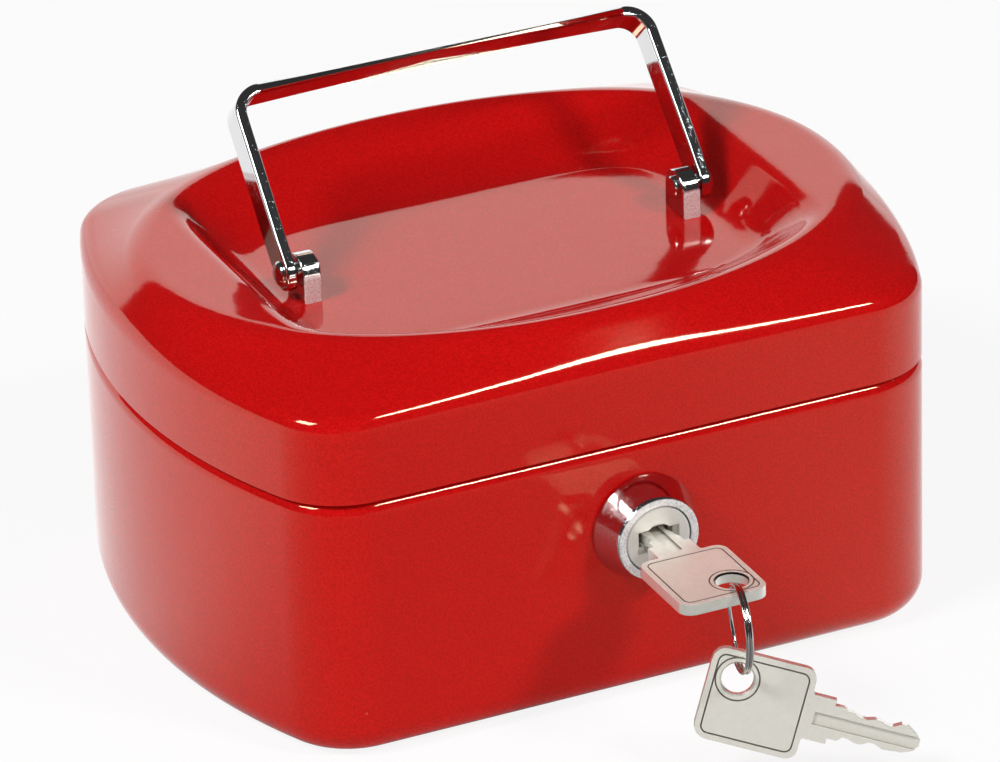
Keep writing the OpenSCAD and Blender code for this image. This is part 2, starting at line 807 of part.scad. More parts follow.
// the split ring: two turns of wire side by side
module key_ring() {
    color([0.72, 0.72, 0.74])
    translate([ring_x, ring_y, ring_z])
    rotate([0, 0, -ring_turn])
    rotate([0, 90, 0])
    rotate_extrude($fn = 96)
        union() {
            for (side = [-1, 1])
                translate([ring_radius, side * ring_pitch / 2])
                    circle(r = ring_wire_radius, $fn = 24);
        }
}

module spare_key() {
    color([0.78, 0.76, 0.71])
    translate([ring_x - hang_side, ring_y, ring_z - ring_radius - hang_drop])
    rotate([0, 0, spare_turn])
    rotate([-spare_lean, 0, 0])
    rotate([0, spare_roll, 0])
    rotate([0, -90, 0])
    rotate([-90, 0, 0])
    translate([-hole_x, -hole_y, 0])
        key_body();
}

// ---- coin tray ----------------------------------------------------------

module tray_pocket(x0, y0, x1, y1, inset) {
    translate([0, 0, tray_bottom + tray_floor])
    linear_extrude(height = tray_depth + 10)
    intersection() {
        polygon([for (i = [0 : ring_count - 1]) edge_point(i, inset)]);
        translate([x0, y0])
            square([x1 - x0, y1 - y0]);
    }
}

module coin_tray() {
    inner = tray_inset + tray_wall;
    half_wall = tray_wall / 2;
    notch_left = lock_x - notch_half_width;
    notch_right = lock_x + notch_half_width;
    color([0.10, 0.10, 0.11])
    difference() {
        union() {
            outline_plate(tray_inset, tray_bottom, tray_top);
            outline_plate(flange_inset, upstand_top + seat_gap, tray_top);
        }
        translate([notch_left, front_y - 1, tray_bottom - 1])
            cube([2 * notch_half_width, notch_y - front_y + 1, tray_depth + 10]);
        // three pockets along the rear
        tray_pocket(-half_length, half_wall, -middle_wall_x - half_wall, half_width, inner);
        tray_pocket(-middle_wall_x + half_wall, half_wall, middle_wall_x - half_wall, half_width, inner);
        tray_pocket(middle_wall_x + half_wall, half_wall, half_length, half_width, inner);
        // two full pockets at the front, and a short one behind the lock
        tray_pocket(-half_length, -half_width, notch_left - tray_wall, -half_wall, inner);
        tray_pocket(notch_right + tray_wall, -half_width, half_length, -half_wall, inner);
        tray_pocket(notch_left, notch_y + tray_wall, notch_right, -half_wall, inner);
    }
}

// ---- nodes --------------------------------------------------------------

base_shell();
lid_shell();
hinge_base_leaf(-1);  // left_hinge_base_leaf
hinge_lid_leaf(-1);  // left_hinge_lid_leaf
hinge_pin(-1);  // left_hinge_pin
hinge_base_leaf(1);  // right_hinge_base_leaf
hinge_lid_leaf(1);  // right_hinge_lid_leaf
hinge_pin(1);  // right_hinge_pin
handle();
handle_post(-1);  // left_handle_post
handle_post(1);  // right_handle_post
handle_rivet(-1);  // left_handle_rivet
handle_rivet(1);  // right_handle_rivet
post_washer(-1);  // left_post_washer
post_washer(1);  // right_post_washer
lock_housing();
lock_nut();
lock_plug();
lock_wafer(1);  // lock_wafer_1
lock_wafer(2);  // lock_wafer_2
lock_wafer(3);  // lock_wafer_3
lock_wafer(4);  // lock_wafer_4
lock_cam();
lock_cam_screw();
lid_catch();
key_in_lock();
key_ring();
spare_key();
coin_tray();
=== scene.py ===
# %% [markdown]
# # A small steel cash box
#
# The real object is pressed from thin sheet steel and sprayed with gloss red
# lacquer. It has a folding chrome handle, a wafer cam lock with a conical
# bezel, two flat keys on a split ring and a plastic coin tray inside. This
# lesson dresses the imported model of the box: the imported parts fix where
# everything is, and each cell builds one piece or one finish.

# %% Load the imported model
import math

import bmesh
import bpy
import numpy as np
from mathutils import Matrix, Vector


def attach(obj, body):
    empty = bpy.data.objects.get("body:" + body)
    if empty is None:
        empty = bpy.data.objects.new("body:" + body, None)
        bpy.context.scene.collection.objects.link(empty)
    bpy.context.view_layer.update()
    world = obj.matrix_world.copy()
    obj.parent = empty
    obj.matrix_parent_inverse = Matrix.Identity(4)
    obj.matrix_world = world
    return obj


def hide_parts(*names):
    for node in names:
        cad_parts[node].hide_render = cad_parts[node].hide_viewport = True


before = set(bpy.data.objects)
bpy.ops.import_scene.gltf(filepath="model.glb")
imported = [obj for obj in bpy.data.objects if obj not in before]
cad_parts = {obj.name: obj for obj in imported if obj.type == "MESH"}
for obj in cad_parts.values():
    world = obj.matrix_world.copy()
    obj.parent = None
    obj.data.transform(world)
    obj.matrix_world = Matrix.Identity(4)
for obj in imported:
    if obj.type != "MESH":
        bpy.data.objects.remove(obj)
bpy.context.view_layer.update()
MM, PER_METRE = 0.001, 1000.0
print("nodes:", len(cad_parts))

# %% [markdown]
# ## Camera
#
# The box is seen from the front and a little from its left, from above, with
# a long lens. A camera is easiest to repeat as a place, a focal length and
# three directions: right, up and back.

# %% Camera
camera_data = bpy.data.cameras.new("camera")
camera_data.sensor_width = 36.0
camera_data.lens = 258.956
camera_data.clip_start, camera_data.clip_end = 0.05, 50.0
camera = bpy.data.objects.new("camera", camera_data)
right = Vector((0.905462, -0.4235486, -0.0272968))
up = Vector((0.208679, 0.388265, 0.8976098))
back = Vector((-0.3695829, -0.8184479, 0.4399449))
camera.matrix_world = Matrix.Translation((-0.5102426, -1.1299124, 0.6479642)) @ Matrix(
    (right, up, back)).transposed().to_4x4()
bpy.context.scene.collection.objects.link(camera)
bpy.context.scene.camera = camera
print("camera to box:", round(camera.location.length, 3), "m")

# %% [markdown]
# ## Arithmetic on sockets
#
# A finish is worked out by nodes. Wrapping a socket in a small class lets the
# sums be written as ordinary Python, and each sum adds its own Math node.


# %% Arithmetic on sockets
class Wire:
    """A socket, with plain arithmetic on it."""

    def __init__(self, finish, socket):
        self.finish = finish
        self.socket = socket

    def sum_of(self, operation, first, second, clamp=False):
        settings = {"operation": operation, "use_clamp": clamp}
        return self.finish.node("ShaderNodeMath", settings, {0: first, 1: second})

    def __add__(self, other):
        return self.sum_of("ADD", self, other)

    __radd__ = __add__

    def __sub__(self, other):
        return self.sum_of("SUBTRACT", self, other)

    def __rsub__(self, other):
        return self.sum_of("SUBTRACT", other, self)

    def __mul__(self, other):
        return self.sum_of("MULTIPLY", self, other)

    __rmul__ = __mul__

    def __truediv__(self, other):
        return self.sum_of("DIVIDE", self, other)

    def __rtruediv__(self, other):
        return self.sum_of("DIVIDE", other, self)

    def at_least(self, other):
        return self.sum_of("MAXIMUM", self, other)

    def clamped(self):
        return self.sum_of("ADD", self, 0.0, clamp=True)


print("socket arithmetic is ready")

# %% [markdown]
# ## Finishes
#
# One method adds every other kind of node. A few more give the mixtures that
# most finishes need: a point on the piece in millimetres, noise, a step and a
# bump. Each finish is made once and kept under the name that the pieces ask
# for it by. The world has nodes too, and is written the same way further on.

# %% Finishes
FINISHES = {}


class Finish:
    """A material or a world, and the one way that nodes are added to it."""

    def __init__(self, name, library=bpy.data.materials):
        self.name = name
        self.owner = library.new(name)
        self.owner.use_nodes = True
        self.tree = self.owner.node_tree
        self.tree.nodes.clear()

    def node(self, kind, settings=None, values=None, output=0):
        """A node with its settings, and the values or wires of its sockets."""
        made = self.tree.nodes.new(kind)
        for key, value in (settings or {}).items():
            setattr(made, key, value)
        for key, value in (values or {}).items():
            if isinstance(value, Wire):
                self.tree.links.new(value.socket, made.inputs[key])
            else:
                made.inputs[key].default_value = value
        return Wire(self, made.outputs[output]) if made.outputs else None

    def place(self, scale=(1.0, 1.0, 1.0), turn=(0.0, 0.0, 0.0)):
        """Where a point is on the piece, in millimetres, stretched by scale."""
        where = self.node("ShaderNodeTexCoord", output=3)
        stretch = [s * PER_METRE for s in scale]
        return self.node("ShaderNodeMapping", {}, {
            "Vector": where, "Scale": stretch, "Rotation": turn})

    def noise(self, where, size, detail=2.0, rough=0.5, warp=0.0):
        """Smooth noise from 0 to 1, with blobs of about size millimetres."""
        return self.node("ShaderNodeTexNoise", {}, {
            "Vector": where, "Scale": 1.0 / size, "Detail": detail,
            "Roughness": rough, "Distortion": warp})

    def step(self, value, low, high, below=0.0, beyond=1.0):
        """One value below low, another beyond high and smooth between them."""
        return self.node("ShaderNodeMapRange", {"interpolation_type": "SMOOTHSTEP"}, {
            "Value": value, "From Min": low, "From Max": high, "To Min": below, "To Max": beyond})

    def blend(self, share, first, second):
        """A colour between two, by share."""
        colours = {6: (*first, 1.0) if isinstance(first, tuple) else first,
                   7: (*second, 1.0) if isinstance(second, tuple) else second}
        return self.node("ShaderNodeMix", {"data_type": "RGBA"}, {0: share, **colours}, output=2)

    def bump(self, height, depth, under=None):
        """A bump of depth millimetres for a height from 0 to 1."""
        values = {"Height": height, "Distance": depth * MM}
        if under is not None:
            values["Normal"] = under
        return self.node("ShaderNodeBump", {}, values)

    def surface(self, **values):
        """The Principled shader, by the names of its sockets, and the finish is kept."""
        named = {key.replace("_", " "): value for key, value in values.items()}
        shader = self.node("ShaderNodeBsdfPrincipled", {}, named)
        self.node("ShaderNodeOutputMaterial", {}, {"Surface": shader})
        FINISHES[self.name] = self.owner
        print(f"{self.name}: {len(self.tree.nodes)} nodes")


print("nodes can be added")

# %% [markdown]
# ## Gloss red lacquer
#
# The shells are sprayed and baked. The film is deep red and glossy, but not
# flat: it has the faint long waves and the fine orange peel of sprayed paint,
# and under a strong light its surface looks slightly grainy. A few dust
# nibs are caught in the film, and the gloss is a little duller where the box
# has been handled.

# %% Gloss red lacquer
def red_lacquer():
    f = Finish("red_lacquer")
    where = f.place()
    waves = f.noise(where, 9.0, 1.0)
    peel = f.noise(where, 1.5, 2.0, 0.55)
    grain = f.noise(where, 0.42, 2.0, 0.7)
    cells = f.node("ShaderNodeTexVoronoi", {"feature": "F1"}, {"Vector": where, "Scale": 0.09})
    nibs = 1.0 - f.step(cells, 0.012, 0.03)
    handling = f.step(f.noise(where, 26.0, 4.0, 0.6, 0.4), 0.5, 0.75)
    film = f.blend(f.step(grain, 0.35, 0.65), (0.430, 0.0028, 0.0036), (0.570, 0.0046, 0.0050))
    colour = f.blend(nibs * 0.5, film, (0.60, 0.12, 0.10))
    rough = 0.065 + handling * 0.035 + grain * 0.03
    skin = f.bump(waves, 0.050)
    skin = f.bump(peel, 0.0070, skin)
    skin = f.bump(grain + nibs * 3.0, 0.0009, skin)
    f.surface(Base_Color=colour, Roughness=rough, Normal=skin, IOR=1.52,
              Specular_Tint=(1.0, 0.92, 0.60, 1.0))


red_lacquer()

# %% [markdown]
# ## Chrome
#
# The handle, its posts and the lock bezel are polished and plated with
# chrome. Chrome mirrors what is round it, so its character comes from small
# faults: soft waves from polishing, hair scratches along the bar and pits in
# the plating of the cast parts. Scratches are noise stretched a long way in
# one direction. The posts and the bezel are cast, and their flat fronts were
# ground before the plating, so those look sanded and less like a mirror. A
# step on the depth of a point tells a front from the sides, which saves
# cutting the mesh. A post reaches as far forward as its round top, and the
# bezel ends in a flat ring, so both fronts are known before the pieces are
# made.

# %% Chrome
POST_RADIUS, BEZEL_FACE = 4.1, -64.56


def scratches(f, scale, turn, cut):
    """Hair scratches from 0 to 1 along one direction."""
    fine = f.noise(f.place(scale, turn), 1.0, 3.0, 0.7)
    return f.step(fine, cut, cut + 0.06)


def chrome(name, pits, dull=0.0):
    """Polished chrome, with more or less pitting and wear."""
    f = Finish(name)
    where = f.place()
    along = scratches(f, (9.0, 9.0, 0.25), (0.75, 0.0, 0.1), 0.62)
    across = scratches(f, (0.35, 9.0, 7.0), (0.0, 0.3, 0.5), 0.66)
    marks = (along + across).clamped()
    waves = f.noise(where, 3.0, 1.0)
    groups = f.step(f.noise(where, 2.4, 2.0), 0.40, 0.62)
    specks = f.step(f.noise(where, 0.22, 3.0, 0.75), 0.60, 0.72) * groups
    colour = f.blend(specks * pits, (0.64, 0.64, 0.65), (0.30, 0.27, 0.26))
    rough = 0.055 + dull + marks * 0.10 + specks * (0.30 * pits)
    skin = f.bump(waves, 0.010)
    skin = f.bump(marks * 0.4 - specks * pits, 0.006, skin)
    f.surface(Base_Color=colour, Metallic=1.0, Roughness=rough, Normal=skin)


def cast_plating(name, front):
    """Chrome over a casting: bright sides, and a sanded flat front at y = front."""
    f = Finish(name)
    where = f.place()
    marks = (scratches(f, (9.0, 9.0, 0.4), (0.75, 0.2, 0.1), 0.60)
             + scratches(f, (0.4, 9.0, 7.0), (0.2, 0.3, 0.5), 0.62)).clamped()
    specks = f.step(f.noise(where, 0.24, 3.0, 0.75), 0.60, 0.70)
    grit = f.step(f.noise(where, 0.34, 3.0, 0.75), 0.44, 0.60)
    depth = f.node("ShaderNodeSeparateXYZ", {}, {"Vector": where}, output=1)
    flat = 1.0 - f.step(depth, front + 0.04, front + 0.24)
    sanded = f.blend(grit, (0.90, 0.90, 0.90), (0.66, 0.62, 0.61))
    colour = f.blend(flat, f.blend(specks * 0.7, (0.66, 0.66, 0.67), (0.34, 0.31, 0.30)), sanded)
    rough = 0.045 + marks * 0.14 + specks * 0.12 + flat * 0.26
    skin = f.bump(marks * 0.4 - specks, 0.007)
    metal = 1.0 - flat * (0.75 - grit * 0.40)
    f.surface(Base_Color=colour, Metallic=metal, Roughness=rough, Normal=skin)


chrome("chrome", pits=0.15)
chrome("rivet_chrome", pits=0.85, dull=0.09)
cast_plating("post_chrome", -POST_RADIUS)
cast_plating("bezel_chrome", BEZEL_FACE)

# %% [markdown]
# ## Steel
#
# The nut, washers and cam are zinc plated, which crystallises in faint
# patches. The hinge pins and the split ring are bare drawn steel, brighter
# and smoother. The same kind of finish, made dark and rough, is painted shade
# in the lines pressed into the keys.


# %% Steel
def zinc_steel():
    """Zinc-plated steel, with the patches of its crystals."""
    f = Finish("zinc_steel")
    where = f.place()
    patches = f.node("ShaderNodeTexVoronoi", {"feature": "F1"},
                     {"Vector": where, "Scale": 0.55}, output=1)
    grain = f.noise(where, 0.5, 3.0, 0.6)
    bright = f.node("ShaderNodeSeparateColor", {}, {"Color": patches})
    colour = f.blend(bright * 0.6 + grain * 0.3, (0.46, 0.47, 0.49), (0.68, 0.68, 0.66))
    f.surface(Base_Color=colour, Metallic=1.0, Roughness=0.28 + grain * 0.18,
              Normal=f.bump(grain, 0.012))


def bright_steel(name, tone, rough):
    """Bare steel with fine marks, in one tone."""
    f = Finish(name)
    where = f.place()
    marks = scratches(f, (6.0, 6.0, 1.0), (0.3, 0.2, 0.6), 0.60)
    grain = f.noise(where, 0.35, 3.0, 0.6)
    colour = f.blend(grain * 0.5, tone, tuple(0.78 * c for c in tone))
    f.surface(Base_Color=colour, Metallic=1.0, Roughness=rough + marks * 0.12,
              Normal=f.bump(marks + grain * 0.5, 0.004))


zinc_steel()
bright_steel("steel_pin", (0.56, 0.55, 0.54), 0.22)
bright_steel("steel_ring", (0.70, 0.69, 0.67), 0.13)
# painted shade for the lines pressed into the keys and the walls of the blade's groove
bright_steel("painted_line_shade", (0.42, 0.38, 0.34), 0.45)

# %% [markdown]
# ## Lock and key metals
#
# The plug is cast zinc under a thin satin nickel plate, the wafers are
# stamped brass, and the keys are nickel silver, which is a warm grey. Keys
# are tumbled to take the burrs off, which leaves a satin surface covered in
# fine short scratches that run every way, and a thin dull film. The film
# makes them partly matt, which a metallic value below one stands for. Use
# rubs their edges bright again, so the edges have a finish of their own.

# %% Lock and key metals
def tumbled(name, light, dark, rough, metal=1.0, wear=1.0):
    """Satin metal between two tones; metal is below one under a matt film."""
    f = Finish(name)
    where = f.place()
    one = scratches(f, (8.0, 0.8, 8.0), (0.0, 0.2, 0.5), 0.56)
    two = scratches(f, (0.8, 8.0, 8.0), (0.2, 0.0, 0.9), 0.58)
    three = scratches(f, (5.0, 0.7, 5.0), (0.4, 0.0, 2.2), 0.60)
    marks = (one + two + three).clamped() * wear
    cloud = f.noise(where, 2.2, 3.0, 0.6)
    grain = f.noise(where, 0.16, 2.0, 0.6)
    colour = f.blend(cloud * 0.5 + marks * 0.25, light, dark)
    skin = f.bump(marks * 0.6 + grain * 0.6, 0.005 * wear)
    f.surface(Base_Color=colour, Metallic=metal - cloud * 0.15,
              Roughness=rough + cloud * 0.10 + marks * 0.06, Normal=skin)


tumbled("nickel_plug", (0.88, 0.86, 0.81), (0.72, 0.70, 0.65), 0.26, 0.65)
tumbled("brass_wafer", (0.78, 0.58, 0.26), (0.60, 0.42, 0.18), 0.24)
tumbled("nickel_silver", (0.94, 0.92, 0.83), (0.66, 0.64, 0.57), 0.30, 0.50)
tumbled("key_edge", (0.88, 0.87, 0.80), (0.78, 0.77, 0.70), 0.16, 0.72, 0.15)

# %% [markdown]
# ## Black plastic
#
# The coin tray is moulded from black polystyrene: not quite black, with a
# fine spark-eroded texture, light flow marks and pale scuffs where coins
# have slid.

# %% Black plastic
def black_plastic():
    f = Finish("black_plastic")
    where = f.place()
    texture = f.noise(where, 0.30, 3.0, 0.65)
    flow = f.noise(f.place((0.5, 1.0, 1.0)), 14.0, 3.0, 0.5, 0.6)
    scuffs = scratches(f, (2.5, 0.35, 2.5), (0.0, 0.0, 0.6), 0.63)
    colour = f.blend(scuffs * 0.5 + texture * 0.25, (0.012, 0.012, 0.013), (0.050, 0.050, 0.052))
    f.surface(Base_Color=colour, Roughness=0.38 + flow * 0.12 + scuffs * 0.12,
              Normal=f.bump(texture, 0.020))


black_plastic()
print("finishes:", ", ".join(FINISHES))

# %% [markdown]
# ## Making meshes
#
# Almost everything here is a row of matching rings joined by quads: a pressed
# shell, a turned bezel, a bent bar, a bent wire. One function joins rings,
# and another closes them into a solid. Pieces are worked out in millimetres,
# as the drawings are, and scaled once at the end.


# %% Making meshes
def join_rings(rings, caps=True, loop=False):
    """Points and faces of a skin over rings that all have the same count."""
    count = len(rings[0])
    points = [tuple(p) for ring in rings for p in ring]
    faces = []
    spans = len(rings) if loop else len(rings) - 1
    for r in range(spans):
        here, there = r * count, ((r + 1) % len(rings)) * count
        for i in range(count):
            j = (i + 1) % count
            faces.append((here + i, here + j, there + j, there + i))
    if caps and not loop:
        faces.append(tuple(range(count))[::-1])
        faces.append(tuple((len(rings) - 1) * count + i for i in range(count)))
    return points, faces


def solid(name, points, faces):
    """A closed mesh in millimetres, with its faces turned outwards."""
    mesh = bpy.data.meshes.new(name)
    mesh.from_pydata(points, [], faces)
    work = bmesh.new()
    work.from_mesh(mesh)
    bmesh.ops.remove_doubles(work, verts=work.verts, dist=1e-5)
    bmesh.ops.recalc_face_normals(work, faces=work.faces)
    work.to_mesh(mesh)
    work.free()
    made = bpy.data.objects.new(name, mesh)
    bpy.context.scene.collection.objects.link(made)
    return made


def move(made, matrix):
    """Moves a solid's mesh, and keeps its faces outwards if the matrix mirrors."""
    made.data.transform(matrix)
    if matrix.determinant() < 0:
        made.data.flip_normals()
    return made


print("rings can be joined")

# %% [markdown]
# Holes and slots are cut by exact booleans, which keep thin edges clean. A
# finished solid then becomes a piece: it is scaled to metres, takes its
# finish, rides on its body and hides the imported pieces it stands for.


# %% Cutting and dressing
def settle(made):
    """Applies the modifiers of a solid to its mesh."""
    graph = bpy.context.evaluated_depsgraph_get()
    final = bpy.data.meshes.new_from_object(made.evaluated_get(graph))
    made.modifiers.clear()
    made.data = final


def carve(target, *tools, how="DIFFERENCE"):
    """Cuts the tools from a solid, or fuses them with it."""
    for tool in tools:
        cut = target.modifiers.new("cut", "BOOLEAN")
        cut.operation, cut.object, cut.solver = how, tool, "EXACT"
    settle(target)
    for tool in tools:
        bpy.data.objects.remove(tool)
    return target


def smooth(made, sharp):
    """Smooth shading, with edges sharper than the given angle kept crisp."""
    made.data.shade_smooth()
    made.data.set_sharp_from_angle(angle=math.radians(sharp))
    weigh = made.modifiers.new("weigh", "WEIGHTED_NORMAL")
    weigh.keep_sharp = True


def piece(made, body, slot, stands_for, finish=None, sharp=35.0):
    """Scales a solid to metres, dresses it and lets it ride on its body."""
    made.data.transform(Matrix.Scale(MM, 4))
    if not made.data.materials:
        made.data.materials.append(FINISHES[finish or slot])
    smooth(made, sharp)
    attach(made, body)
    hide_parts(*stands_for)
    print(f"{made.name}: {len(made.data.polygons)} faces on {body}")


print("solids can be cut and dressed")

# %% [markdown]
# Plates, keys and posts are slabs: a flat outline with some thickness and
# softened edges. The outline is moved in along its corners for the rings
# near each face. Turned parts are a half outline swept round an axis.

# %% Slabs and turned parts
def inset(outline, distance):
    """Moves each corner of a counter-clockwise outline in by distance."""
    points = np.array(outline, float)
    ahead = np.roll(points, -1, 0) - points
    ahead /= np.linalg.norm(ahead, axis=1)[:, None]
    inward = np.stack([-ahead[:, 1], ahead[:, 0]], 1)
    before = np.roll(inward, 1, 0)
    share = 1.0 + np.clip((inward * before).sum(1), -0.6, 1.0)
    return points + distance * (inward + before) / share[:, None]


def rounded(corners, steps):
    """An outline from (x, y, radius) corners, each replaced by an arc."""
    made = []
    for k, (x, y, radius) in enumerate(corners):
        here = Vector((x, y))
        before = Vector(corners[k - 1][:2]) - here
        after = Vector(corners[(k + 1) % len(corners)][:2]) - here
        if radius <= 0.0:
            made.append((x, y))
            continue
        half = before.angle(after) / 2
        trim = min(radius / math.tan(half), 0.48 * before.length, 0.48 * after.length)
        radius = trim * math.tan(half)
        between = (before.normalized() + after.normalized()).normalized()
        middle = here + between * (radius / math.sin(half))
        start = here + before.normalized() * trim - middle
        end = here + after.normalized() * trim - middle
        turn = start.angle_signed(end)
        for s in range(steps + 1):
            spun = start.copy()
            spun.rotate(Matrix.Rotation(-turn * s / steps, 2))
            made.append(tuple(middle + spun))
    return made


def slab(name, outline, low, high, soft=0.0, steps=2, place=None):
    """An outline with thickness along Z; soft is the radius of its edges."""
    rings = []
    bends = [math.radians(90 * s / steps) for s in range(steps + 1)] if soft else [math.radians(90)]
    for end, z, sign in ((0, low, 1.0), (1, high, -1.0)):
        levels = []
        for a in bends:
            flat = inset(outline, soft * (1 - math.sin(a)))
            levels.append([(x, y, z + sign * soft * (1 - math.cos(a))) for x, y in flat])
        rings += levels if end == 0 else levels[::-1]
    made = solid(name, *join_rings(rings))
    return made if place is None else move(made, place)


def turned(name, profile, place, steps=72):
    """A profile of (radius, height) swept round Z; it may start and end on the axis."""
    spins = [2 * math.pi * k / steps for k in range(steps)]
    rings = [[(r * math.cos(a), r * math.sin(a), h) for a in spins] for r, h in profile]
    on_axis = profile[0][0] == profile[-1][0] == 0
    return move(solid(name, *join_rings(rings, caps=False, loop=not on_axis)), place)


def block(name, low, high):
    """A box between two corners."""
    outline = [(low[0], low[1]), (high[0], low[1]), (high[0], high[1]), (low[0], high[1])]
    return slab(name, outline, low[2], high[2])


print("slabs, turned parts and blocks can be made")

# %% [markdown]
# ## The shape of the shells
#
# Seen from above the box has straight long sides, gently bowed short ends and
# round corners. One list of points with their outward normals describes it,
# and every level of the shells is that outline moved in by some distance.

# %% Plan outline of the shells
HALF_LENGTH, HALF_WIDTH, SHEET = 76.0, 57.6, 0.9
END_BOW, CORNER = 121.0, 16.4
end_centre_x = HALF_LENGTH - END_BOW
corner_y = HALF_WIDTH - CORNER
end_angle = math.asin(corner_y / (END_BOW - CORNER))
corner_x = end_centre_x + (END_BOW - CORNER) * math.cos(end_angle)


def quarter_outline(end_steps=16, corner_steps=20, side_steps=28):
    """A quarter of the outline as x, y and the outward normal."""
    rows = []
    for k in range(end_steps):
        a = end_angle * k / end_steps
        out_x, out_y = math.cos(a), math.sin(a)
        rows.append((end_centre_x + END_BOW * out_x, END_BOW * out_y, out_x, out_y))
    for k in range(corner_steps):
        a = end_angle + (math.pi / 2 - end_angle) * k / corner_steps
        out_x, out_y = math.cos(a), math.sin(a)
        rows.append((corner_x + CORNER * out_x, corner_y + CORNER * out_y, out_x, out_y))
    for k in range(side_steps + 1):
        rows.append((corner_x * (1 - k / side_steps), HALF_WIDTH, 0.0, 1.0))
    return np.array(rows)


quarter = quarter_outline()
flip_x, flip_y = np.array([-1, 1, -1, 1]), np.array([1, -1, 1, -1])
half = np.concatenate([quarter, (quarter * flip_x)[::-1][1:]])
plan = np.concatenate([half, (half * flip_y)[::-1][1:-1]])
plan_angle = np.arctan2(plan[:, 1], plan[:, 0])
print("outline points:", len(plan))


def level(inward, z):
    """The outline moved in by some distance, at height z."""
    flat = plan[:, :2] - inward * plan[:, 2:]
    return [(x, y, z) for x, y in flat]


def arc_levels(inward, z, radius, start, end, steps):
    """Levels along an arc of the section, with angles in degrees."""
    made = []
    for k in range(steps + 1):
        a = math.radians(start + (end - start) * k / steps)
        made.append(level(inward - radius * math.cos(a), z + radius * math.sin(a)))
    return made


# %% [markdown]
# ## Base shell
#
# The base is one deep pressing. Its bottom edge is a full round, its wall is
# straight, and at the top the sheet rolls in over a small shoulder and then
# stands up again, so that the lid closes round it. The lock sits in a round
# hole in the front.

# %% Base shell
BASE_TOP, UPSTAND_TOP, BOTTOM_ROUND, SHOULDER = 52.6, 58.0, 6.2, 1.9
SHOULDER_DROP = 2.6  # how far down the wall the roll of the shoulder starts
BREAK = 0.2  # the sheared edge of the sheet is rounded a little
LOCK_X, LOCK_Z, LOCK_HOLE = 2.2, 35.3, 8.05
to_front = Matrix.Translation((LOCK_X, 0, LOCK_Z)) @ Matrix.Rotation(math.radians(-90), 4, "X")


def base_shell():
    rings = arc_levels(BOTTOM_ROUND, BOTTOM_ROUND, BOTTOM_ROUND, -90, 0, 12)
    rings += [level(0, z) for z in (7.0, 12.0, 30.0, 46.0, 49.4)]
    rings += [level(SHOULDER * (1 - math.cos(a)), BASE_TOP - SHOULDER_DROP * (1 - math.sin(a)))
              for a in np.radians(np.linspace(0, 90, 13))]
    rings += [level(SHOULDER, BASE_TOP + BREAK), level(SHOULDER, UPSTAND_TOP - BREAK)]
    rings += [level(SHOULDER + BREAK, UPSTAND_TOP), level(SHOULDER + SHEET - BREAK, UPSTAND_TOP)]
    rings += [level(SHOULDER + SHEET, UPSTAND_TOP - BREAK),
              level(SHOULDER + SHEET, BASE_TOP - SHEET)]
    rings += arc_levels(SHOULDER, BASE_TOP - SHOULDER, SHOULDER - SHEET, 90, 0, 5)
    rings += arc_levels(BOTTOM_ROUND, BOTTOM_ROUND, BOTTOM_ROUND - SHEET, 0, -90, 9)
    shell = solid("base_body", *join_rings(rings))
    hole = turned("hole", [(0, -2), (LOCK_HOLE, -2), (LOCK_HOLE, 4), (0, 4)],
                  Matrix.Translation((0, -HALF_WIDTH, 0)) @ to_front)
    return carve(shell, hole)


piece(base_shell(), "base", "red_lacquer", ["base_shell"])

# %% [markdown]
# ## Lid shell
#
# The lid is the handsome part. Its side rises straight, turns over a soft
# shoulder and climbs a slanted skirt to an oval crest. Inside the crest the
# sheet dips into a recess whose ends are cut straight, and whose floor is a
# flat rounded rectangle. The section is a broken line with soft corners,
# and it changes round the lid, because each of its corners follows its own
# curve: the plan outline, an oval, a clipped oval and a squarish oval.

# %% Lid section
LID_BOTTOM, LID_CORNER, CREST_Z, RIM_Z, FLOOR_Z = 53.0, 69.3, 77.2, 76.9, 67.9
CREST = (HALF_LENGTH - 5.6, HALF_WIDTH - 7.0)
RIM_WIDTH, RECESS_END = 2.6, HALF_LENGTH - 21.6
FLOOR = (RECESS_END - 8.2, CREST[1] - RIM_WIDTH - 19.0)
SOFT_CORNERS = (2.8, 3.0, 2.2, 3.4)
CREST_POWER, FLOOR_POWER, END_CRISPNESS = 2.1, 5, 24


def oval(angle, rx, ry, power):
    """Radius of an oval at an angle; a power of 2 is an ellipse, more is squarer."""
    return (abs(math.cos(angle) / rx) ** power + abs(math.sin(angle) / ry) ** power) ** (-1 / power)


def clipped_oval(angle, rx, ry, end_x):
    """The crest's oval with its ends cut off straight, and the corners eased."""
    round_part = oval(angle, rx, ry, CREST_POWER) ** -END_CRISPNESS
    straight_part = (abs(math.cos(angle)) / end_x) ** END_CRISPNESS
    return (round_part + straight_part) ** (-1 / END_CRISPNESS)


def lid_corners(i, under):
    """The section's corners at outline point i, at a depth under the outside."""
    a, slant = plan_angle[i], 0.4 * under
    around = np.array((math.cos(a), math.sin(a)))
    edge = plan[i, :2] - under * plan[i, 2:]
    crest = around * oval(a, CREST[0] - slant, CREST[1] - slant, CREST_POWER)
    wider = slant / 2 - RIM_WIDTH
    rim = around * clipped_oval(a, CREST[0] + wider, CREST[1] + wider, RECESS_END + slant / 2)
    flat = around * oval(a, FLOOR[0] + slant / 2, FLOOR[1] + slant / 2, FLOOR_POWER)
    return [np.array(p) for p in (
        (*edge, LID_BOTTOM), (*edge, LID_CORNER - slant), (*crest, CREST_Z - under),
        (*rim, RIM_Z - under), (*flat, FLOOR_Z - under), (0, 0, FLOOR_Z - under))]


